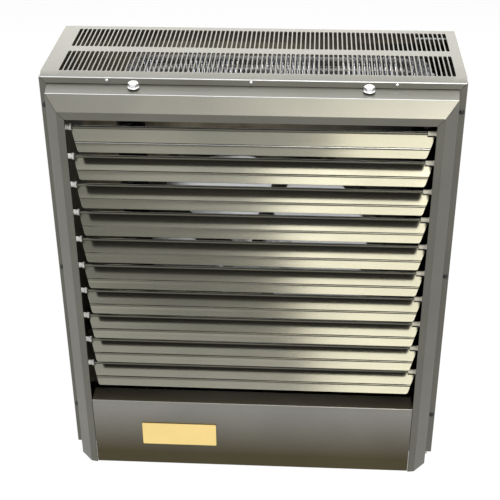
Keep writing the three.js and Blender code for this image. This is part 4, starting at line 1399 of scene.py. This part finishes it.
@dataclass
class Controls:
    """What stands on the floor of the control compartment."""

    floor: float = -392.2
    front: float = 34.0
    lip: float = 3.0
    ledge: float = 1.0
    barrier: float = 2.0
    overlap: float = 0.1
    deck_sunk: float = 0.5
    screw_place: float = 0.55
    screw_radius: float = 2.4
    screw_height: float = 1.6
    layers: int = 14
    layer_share: float = 0.82
    clamp: float = 8.0
    foot: Point = (6.0, 9.0, 1.6)
    winding_margin: Spot = (9.0, 8.0)
    winding_corner: float = 4.0
    terminal_plate: Point = (3.6, 2.0, 0.8)
    terminal_screw_inset: float = 6.0
    cutout_half: Spot = (15.0, 5.0)
    cutout_corner: float = 4.6

    def build(self) -> None:
        """Builds each control."""
        self.switch("contactor", -92.0, 56.0, 48.0, 50.0, 15.0, 5.0, 3)
        self.switch("fan_delay_relay", 38.0, 30.0, 34.0, 30.0, 6.0, 4.0, 2)
        self.transformer()
        self.terminal_block()
        self.thermal_cutout()

    def switch(
        self,
        name: str,
        x: float,
        width: float,
        depth: float,
        height: float,
        drop: float,
        inset: float,
        poles: int,
    ) -> None:
        """Builds a moulded switch with a stepped deck and screw terminals.

        Args:
            name: CAD node that it stands for.
            x: Middle of its width.
            width: Size along X.
            depth: Size along Y.
            height: Size along Z.
            drop: Depth of the step below its top.
            inset: Width of the step.
            poles: Screws at the front and at the rear.
        """
        left, right = x - width / 2, x + width / 2
        front, rear = self.front, self.front + depth
        top = self.floor + height
        shoulder = top - drop
        lip, ledge, barrier = self.lip, self.ledge, self.barrier
        case = Solid().block((left, front, self.floor), (right, rear, shoulder - lip))
        case.block(
            (left + ledge, front + ledge, shoulder - (lip + self.overlap)),
            (right - ledge, rear - ledge, shoulder),
        )
        case.block(
            (left + inset, front + inset, shoulder - self.deck_sunk),
            (right - inset, rear - inset, top),
        )
        pitch = width / poles
        screws = Solid()
        for i in range(poles + 1):
            wall = left + i * (width - barrier) / poles
            for near, far in ((front, front + inset + ledge), (rear - inset - ledge, rear)):
                case.block((wall, near, shoulder - lip), (wall + barrier, far, shoulder + lip))
        for i in range(poles):
            for y in (front + inset * self.screw_place, rear - inset * self.screw_place):
                spot = (left + (i + 0.5) * pitch, y)
                radius = min(self.screw_radius, inset / 2)
                screws.rod(Axis.Z, spot, radius, shoulder, shoulder + self.screw_height, 0.3, 16)
        piece(f"{name}_case", case, MOULDED, "cabinet", [name], edge=0.4)
        piece(f"{name}_screws", screws, BRASS, "cabinet")

    def transformer(self) -> None:
        """Builds the transformer: laminated core, winding and foot."""
        x, width, depth, height = -20.0, 44.0, 40.0, 38.0
        left, right = x - width / 2, x + width / 2
        front, rear = self.front, self.front + depth
        top = self.floor + height
        core = Solid()
        pitch = (depth - 2 * self.clamp) / self.layers
        for i in range(self.layers):
            y = front + self.clamp + i * pitch
            core.block((left, y, self.floor), (right, y + pitch * self.layer_share, top))
        core.block(
            (left + 0.4, front + 8.2, self.floor + 0.4), (right - 0.4, rear - 8.2, top - 0.4)
        )
        reach, inset, sheet = self.foot
        core.block(
            (left - reach, front + inset, self.floor),
            (right + reach, rear - inset, self.floor + sheet),
        )
        piece(
            "transformer_core",
            core,
            LAMINATION,
            "cabinet",
            ["control_transformer"],
        )
        side, end = self.winding_margin
        outline = rectangle(
            left + side, right - side, self.floor + end, top - end, self.winding_corner
        )
        coil = Solid().sweep(Axis.Y, outline, front, rear)
        piece("transformer_winding", coil, WINDING, "cabinet", edge=1.2)

    def terminal_block(self) -> None:
        """Builds the row of screw terminals."""
        x, width, depth, height, deck, wall, poles = 90.0, 48.0, 22.0, 24.0, 13.0, 2.4, 4
        left = x - width / 2
        front, rear = self.front, self.front + depth
        base = Solid().block((left, front, self.floor), (left + width, rear, self.floor + deck))
        screws = Solid()
        pitch = (width - wall) / poles
        for i in range(poles + 1):
            at = left + i * pitch
            base.block((at, front, self.floor), (at + wall, rear, self.floor + height))
        for i in range(poles):
            middle = left + wall / 2 + (i + 0.5) * pitch
            plate = self.floor + deck
            half, inset, sheet = self.terminal_plate
            screws.block(
                (middle - half, front + inset, plate), (middle + half, rear - inset, plate + sheet)
            )
            for y in (front + self.terminal_screw_inset, rear - self.terminal_screw_inset):
                screws.rod(Axis.Z, (middle, y), 2.6, plate + 0.7, plate + 2.6, 0.4, 18)
        piece(
            "terminal_base",
            base,
            MOULDED,
            "cabinet",
            ["terminal_block"],
            edge=0.3,
        )
        piece("terminal_screws", screws, BRASS, "cabinet", edge=0.1)

    def thermal_cutout(self) -> None:
        """Builds the disc thermostat on the divider."""
        x, y, base = 104.0, 58.0, DIVIDER_Z + SEAT_GAP
        wide, deep = self.cutout_half
        outline = rectangle(x - wide, x + wide, y - deep, y + deep, self.cutout_corner)
        flange = Solid().sweep(Axis.Z, outline, base, base + 1)
        profile = [(0, 0), (9, 0), (9, 3), (8.2, 3.4), (8.2, 4), (0, 4)]
        flange.lathe(Axis.Z, (x, y), [(r, base + z) for r, z in profile], 32)
        piece(
            "cutout_flange",
            flange,
            GALVANISED,
            "cabinet",
            ["thermal_cutout"],
            edge=0.12,
        )
        cap = Solid().rod(Axis.Z, (x, y), 7.6, base + 3.9, base + 7.2, 0.6, 32)
        piece("cutout_cap", cap, MOULDED, "cabinet")


# ---------------------------------------------------------------- door


@dataclass
class Door:
    """The hinged front: mitred frame, lower panel, plate, screws and louver carriers."""

    side_depth: float = 17.7
    rear_gap: float = 0.5
    outer_bend: float = 2.8
    inner_bend: float = 2.0
    panel_bend: float = 1.4
    mitre_gap: float = 0.22
    panel_half: float = 151.55
    panel_return: float = -11.5
    panel_bottom_return: float = -6.3
    swing_radius: float = 5.4
    plate_x: Spot = (-105.0, -34.0)
    plate_z: Spot = (-367.7, -342.5)
    plate_thickness: float = 0.9
    plate_corner: float = 0.9

    def build(self) -> None:
        """Builds every piece of the door but the louvers."""
        self.frame_sheet()
        self.lower_panel()
        self.nameplate()
        for name, sign in SIDES.items():
            self.screw(name, sign)
            refinish(f"louver_carrier_{name}", CARRIER_BLACK)

    def rear_edge(self, height: float) -> float:
        """How far forward a stile's rear edge is, round below so that it clears the cabinet.

        Args:
            height: Z of the place.

        Returns:
            The distance in front of the cabinet's front face.
        """
        drop = max(0.0, HINGE[1] - height)
        return max(self.rear_gap, -HINGE[0] - math.sqrt(self.swing_radius**2 - drop**2))

    def frame_sheet(self) -> None:
        """Builds the head and the two stiles, mitred to each other."""
        inset = DOOR_HALF - FACE_OUTER
        line = [
            (0, self.rear_gap),
            (0, self.side_depth),
            (inset, -DOOR_FRONT),
            (DOOR_HALF - FACE_INNER, -DOOR_FRONT),
        ]
        middle = tuple((a + b) / 2 for a, b in zip(line[1], line[2]))
        outer = rounded([*line[:2], middle], self.outer_bend, 7)[:-1]
        inner = rounded([middle, *line[2:]], self.inner_bend, 5)[1:]
        section = thickened(outer + inner, DOOR_SHEET)
        gap = self.mitre_gap
        solid = Solid()
        for sign in SIDES.values():
            rings = []
            for z in (-HEIGHT, -393.0, -392.0, -391.0, -390.0, HINGE[1]):
                rear = self.rear_edge(z)
                rings.append([(sign * (DOOR_HALF - u), -max(v, rear), z) for u, v in section])
            head = [(sign * (DOOR_HALF - u), -v, DOOR_TOP - u - gap) for u, v in section]
            solid.loft([*rings, head])
        ends = [[(s * (DOOR_HALF - u), -v, DOOR_TOP - u) for u, v in section] for s in (-1, 1)]
        solid.loft([[(x + gap * (1 if x < 0 else -1), y, z) for x, y, z in end] for end in ends])
        cutter = Solid()
        for sign in SIDES.values():
            inner, outer = sorted((sign * (DOOR_HALF - 3), sign * (DOOR_HALF + 2)))
            cutter.rod(Axis.X, HINGE, 1.9, inner, outer, steps=24)
        piece(
            "door_frame_sheet",
            solid,
            PAINT,
            "door",
            ["door_frame"],
            cutter=cutter,
            sharp_degrees=SHEET_SHARP_DEGREES,
        )

    def lower_panel(self) -> None:
        """Builds the folded panel below the louvers."""
        line = [
            (self.panel_bottom_return, -HEIGHT),
            (DOOR_FRONT, -HEIGHT),
            (DOOR_FRONT, PANEL_TOP),
            (self.panel_return, PANEL_TOP),
        ]
        outline = thickened(rounded(line, self.panel_bend, 5), DOOR_SHEET)
        solid = Solid().sweep(Axis.X, outline, -self.panel_half, self.panel_half)
        made = piece(
            "lower_panel_sheet",
            solid,
            LOWER_PANEL_SHADED_PAINT,
            "door",
            ["lower_panel"],
            sharp_degrees=SHEET_SHARP_DEGREES,
        )
        # The lower panel's up-facing return gets the darker paint: painted shade.
        made.data.materials.append(SHADE_PAINT.material())
        for face in made.data.polygons:
            if face.normal.z > LEVEL_FACE:
                face.material_index = 1

    def nameplate(self) -> None:
        """Builds the bare gold plate."""
        outline = rectangle(*self.plate_x, *self.plate_z, self.plate_corner)
        front = DOOR_FRONT - self.plate_thickness
        solid = Solid().sweep(Axis.Y, outline, front, DOOR_FRONT - 0.05)
        piece("gold_plate", solid, GOLD, "door", ["nameplate"], edge=0.2)

    def screw(self, name: str, sign: int) -> None:
        """Builds one hex washer screw. Args: name, sign."""
        centre = (sign * SCREW_X, SCREW_Y)
        seat = DOOR_TOP + 0.05
        profile = [(0, seat), (5.0, seat), (5.2, seat + 0.35), (4.6, seat + 1.1), (0, seat + 1.4)]
        solid = Solid().lathe(Axis.Z, centre, profile, 40)
        solid.join(hexagon(Axis.Z, centre, 8.0, seat + 0.9, seat + 4.4))
        for turn in range(5):
            low = seat - 1.6 - turn
            thread = [(0, low), (1.7, low), (2.15, low + 0.45), (1.7, low + 0.9), (0, low + 0.9)]
            solid.lathe(Axis.Z, centre, thread, 20)
        solid.rod(Axis.Z, centre, 1.75, seat - 6.0, seat + 0.4, 0.4)
        piece(
            f"hex_screw_{name}",
            solid,
            ZINC,
            "door",
            [f"door_screw_{name}"],
            edge=0.25,
        )


# ---------------------------------------------------------------- louvers


@dataclass
class LouverBank:
    """Ten tilting louvers, each with a rolled top edge, a bead and tapered ends."""

    chord: float = 21.0
    sheet: float = 0.8
    roll_ends: Spot = (-149.2, 145.7)
    tapers: Spot = (6.1, 6.7)
    tab_end: float = 152.0
    tab_top: float = 3.1
    corner: float = 1.6
    roll: float = 1.5
    bead_at: float = 13.2
    bead_half: float = 1.3
    bead_height: float = 0.45
    face: float = -0.2
    collar_inner: Spot = (149.6, 146.1)
    collar_radii: Spot = (2.75, 2.0)
    collar_outer: float = 151.5
    barrel_radius: float = 2.35
    carrier_inner: float = 156.6
    carrier_outer: float = 157.6

    def build(self) -> None:
        """Builds the louvers and their bushings."""
        for i in range(LOUVERS):
            number = f"{i + 1:02d}"
            pivot = LOUVER_FIRST - i * LOUVER_PITCH
            self.louver(number, pivot, math.radians(-LOUVER_TILTS[i]))
            for name, sign in SIDES.items():
                self.bushing(name, sign, number, pivot)

    def ends_at(self, drop: float) -> Spot:
        """X of a louver's two ends at a distance below its pivot.

        Args:
            drop: The distance.

        Returns:
            The left and the right end. The right end steps out below the bushing's collar.
        """
        share = max(0.0, (drop - self.tab_top) / (self.chord - self.tab_top))
        left = self.roll_ends[0] + self.tapers[0] * share
        right = self.tab_end - self.tapers[1] * share if drop > self.tab_top else self.roll_ends[1]
        over = max(0.0, drop - self.chord + self.corner)
        pull = self.corner - math.sqrt(self.corner**2 - over**2)
        return left + pull, right - pull

    def louver(self, number: str, pivot: float, tilt: float) -> None:
        """Builds one louver. Args: number, pivot, tilt in radians."""
        drops = [0.6, self.tab_top - 0.03, self.tab_top + 0.03, 7.0]
        steps = 8
        for j in range(steps + 1):
            drops.append(self.bead_at - self.bead_half + 2 * self.bead_half * j / steps)
        drops += [17.0, self.chord - self.corner]
        for degrees in (30, 50, 70, 89):
            drops.append(self.chord - self.corner * (1 - math.sin(math.radians(degrees))))
        rings = []
        for drop in drops:
            off = (drop - self.bead_at) / self.bead_half
            rise = self.bead_height * 0.5 * (1 + math.cos(math.pi * off)) if abs(off) < 1 else 0.0
            front = self.face - rise
            left, right = self.ends_at(drop)
            back = front + self.sheet
            spots = ((left, front), (right, front), (right, back), (left, back))
            rings.append([(x, y, -drop) for x, y in spots])
        solid = Solid().loft(rings)
        solid.rod(Axis.X, (0, 0), self.roll, *self.roll_ends, 0.2, 24)
        pin = self.carrier_outer + 0.6
        solid.rod(Axis.X, (0, 0), 1.1, -pin, pin, 0.2, 14)
        turn = Matrix.Translation((0, LOUVER_PIVOT_Y, pivot)) @ Matrix.Rotation(tilt, 4, "X")
        piece(
            f"louver_blade_{number}",
            solid.moved(turn),
            FIRST_LOUVER_HIGHLIT_PAINT if number == "01" else LOUVER_PAINT,
            f"louver_{number}",
            [f"louver_{number}"],
            sharp_degrees=34,
        )

    def bushing(self, name: str, sign: int, number: str, pivot: float) -> None:
        """Builds one nylon bushing. Args: name, sign, number, pivot."""
        inner = self.collar_inner[sign > 0]
        collar_radius = self.collar_radii[sign > 0]
        collar, web, out = self.collar_outer, self.carrier_inner, self.carrier_outer
        waist = [(1.95, collar + 0.1), (1.95, collar + 0.8)] if sign < 0 else []
        profile = [
            (1.4, inner),
            (collar_radius - 0.25, inner),
            (collar_radius, inner + 0.25),
            (collar_radius, collar - 0.25),
            (collar_radius - 0.25, collar),
            *waist,
            (self.barrel_radius, collar + 1.0),
            (self.barrel_radius, web - 0.3),
            (2.1, web - 0.2),
            (2.1, out + 0.3),
            (2.7, out + 0.35),
            (2.4, out + 1.4),
            (1.4, out + 1.4),
        ]
        solid = Solid().lathe(
            Axis.X, (LOUVER_PIVOT_Y, pivot), [(r, sign * x) for r, x in profile], 24
        )
        piece(
            f"nylon_bushing_{name}_{number}",
            solid,
            NYLON if sign < 0 else CREAM_NYLON,
            "door",
            [f"bushing_{name}_{number}"],
        )


# ---------------------------------------------------------------- studio


@dataclass
class Lamp:
    """One soft studio lamp, aimed at the middle of the object."""

    name: str
    place: Point
    size: Spot
    power: float
    colour: Colour = (1.0, 1.0, 1.0)
    aim: Point = (0.0, -0.10, -0.17)

    def build(self) -> None:
        """Adds the lamp."""
        data = bpy.data.lights.new(self.name, "AREA")
        data.shape = "RECTANGLE"
        data.size, data.size_y = self.size
        data.energy = self.power
        data.color = self.colour
        lamp = bpy.data.objects.new(self.name, data)
        lamp.location = self.place
        ahead = Vector(self.aim) - Vector(self.place)
        lamp.rotation_euler = ahead.to_track_quat("-Z", "Y").to_euler()
        bpy.context.scene.collection.objects.link(lamp)


@dataclass
class Studio:
    """Camera, lamps, floor and world."""

    focal_px: float = 1120.18
    frame_px: float = 500.0
    sensor: float = 36.0
    camera_place: Point = (50.07, -860.40, 355.55)
    right: Point = (0.99837516, 0.05667151, -0.00594755)
    down: Point = (0.02417697, -0.51579688, -0.85636969)
    ahead: Point = (-0.05159949, 0.85483444, -0.51632894)
    floor_z: float = -0.62
    ambient: float = 0.55

    def build(self) -> None:
        """Builds the studio."""
        self.camera()
        self.world()
        self.floor()
        for lamp in (
            Lamp("key_right", (0.29, -0.88, 0.96), (0.50, 0.95), 10.5, (1.0, 0.96, 0.87)),
            Lamp("front_left", (-0.15, -0.57, 1.13), (0.60, 0.40), 1.3, (0.97, 0.98, 1.0)),
            Lamp("front_low", (-0.22, -0.92, 0.78), (0.60, 0.20), 0.55, (0.97, 0.98, 1.0)),
            Lamp("front_right", (0.37, -0.52, 1.10), (0.34, 0.30), 2.6, (1.0, 0.97, 0.90)),
            Lamp("soft_left", (-1.6, -1.0, 0.6), (1.0, 1.0), 6.0, (0.94, 0.96, 1.0)),
            Lamp("sky_behind", (0.0, 1.8, 0.72), (2.6, 0.8), 16.5, (1.0, 0.98, 0.95)),
            Lamp("overhead", (0.0, 0.5, 1.3), (1.8, 1.1), 22.0, (0.92, 0.96, 1.0)),
        ):
            lamp.build()

    def camera(self) -> None:
        """Sets the camera from the fit to the photograph's corners."""
        data = bpy.data.cameras.new("camera")
        data.sensor_width = self.sensor
        data.lens = self.focal_px / self.frame_px * self.sensor
        data.clip_start = 0.01
        made = bpy.data.objects.new("camera", data)
        bpy.context.scene.collection.objects.link(made)
        columns = (Vector(self.right), -Vector(self.down), -Vector(self.ahead))
        turn = Matrix(columns).transposed().to_4x4()
        made.matrix_world = Matrix.Translation(row_point(self.camera_place)) @ turn
        bpy.context.scene.camera = made

    @staticmethod
    def background_factor(tree: bpy.types.NodeTree) -> bpy.types.NodeSocket:
        """1 for rays that should see the plain background. Args: tree. Returns: the factor."""
        light = tree.nodes.new("ShaderNodeLightPath")
        total = None
        for ray in ("Is Camera Ray", "Is Glossy Ray", "Is Transmission Ray"):
            if total is None:
                total = light.outputs[ray]
                continue
            either = tree.nodes.new("ShaderNodeMath")
            either.operation = "MAXIMUM"
            tree.links.new(total, either.inputs[0])
            tree.links.new(light.outputs[ray], either.inputs[1])
            total = either.outputs[0]
        return total

    def world(self) -> None:
        """Sets a plain world that shows as white."""
        world = bpy.data.worlds.new("world")
        world.use_nodes = True
        bpy.context.scene.world = world
        tree = world.node_tree
        level = tree.nodes.new("ShaderNodeMapRange")
        level.inputs["To Min"].default_value = self.ambient
        level.inputs["To Max"].default_value = 1.0
        tree.links.new(self.background_factor(tree), level.inputs["Value"])
        tree.links.new(level.outputs[0], tree.nodes["Background"].inputs["Strength"])
        tree.nodes["Background"].inputs["Color"].default_value = (1, 1, 1, 1)

    def floor(self) -> None:
        """Builds the plain pale floor, which shows nearly white and keeps a soft shadow."""
        mesh = bpy.data.meshes.new("floor")
        reach = 12.0
        z = self.floor_z
        corners = [(-reach, -reach, z), (reach, -reach, z), (reach, reach, z), (-reach, reach, z)]
        mesh.from_pydata(corners, [], [(0, 1, 2, 3)])
        made = bpy.data.objects.new("floor", mesh)
        bpy.context.scene.collection.objects.link(made)
        material = bpy.data.materials.new("floor")
        material.use_nodes = True
        tree = material.node_tree
        shader = tree.nodes["Principled BSDF"]
        shader.inputs["Base Color"].default_value = (0.86, 0.86, 0.86, 1)
        shader.inputs["Roughness"].default_value = 0.9
        glow = tree.nodes.new("ShaderNodeEmission")
        mix = tree.nodes.new("ShaderNodeMixShader")
        share = tree.nodes.new("ShaderNodeMath")
        share.operation = "MULTIPLY"
        share.inputs[1].default_value = 0.88
        tree.links.new(self.background_factor(tree), share.inputs[0])
        tree.links.new(share.outputs[0], mix.inputs[0])
        tree.links.new(shader.outputs[0], mix.inputs[1])
        tree.links.new(glow.outputs[0], mix.inputs[2])
        tree.links.new(mix.outputs[0], tree.nodes["Material Output"].inputs["Surface"])
        mesh.materials.append(material)


def main() -> None:
    """Builds the looks."""
    logging.basicConfig(level=logging.INFO, format="%(name)s %(message)s")
    bpy.context.scene.view_settings.view_transform = "Standard"
    for assembly in (
        Studio(),
        Cabinet(),
        HangerRails(),
        FanUnit(),
        ElementBank(),
        Controls(),
        Door(),
        LouverBank(),
    ):
        assembly.build()


if __name__ == "__main__":
    main()
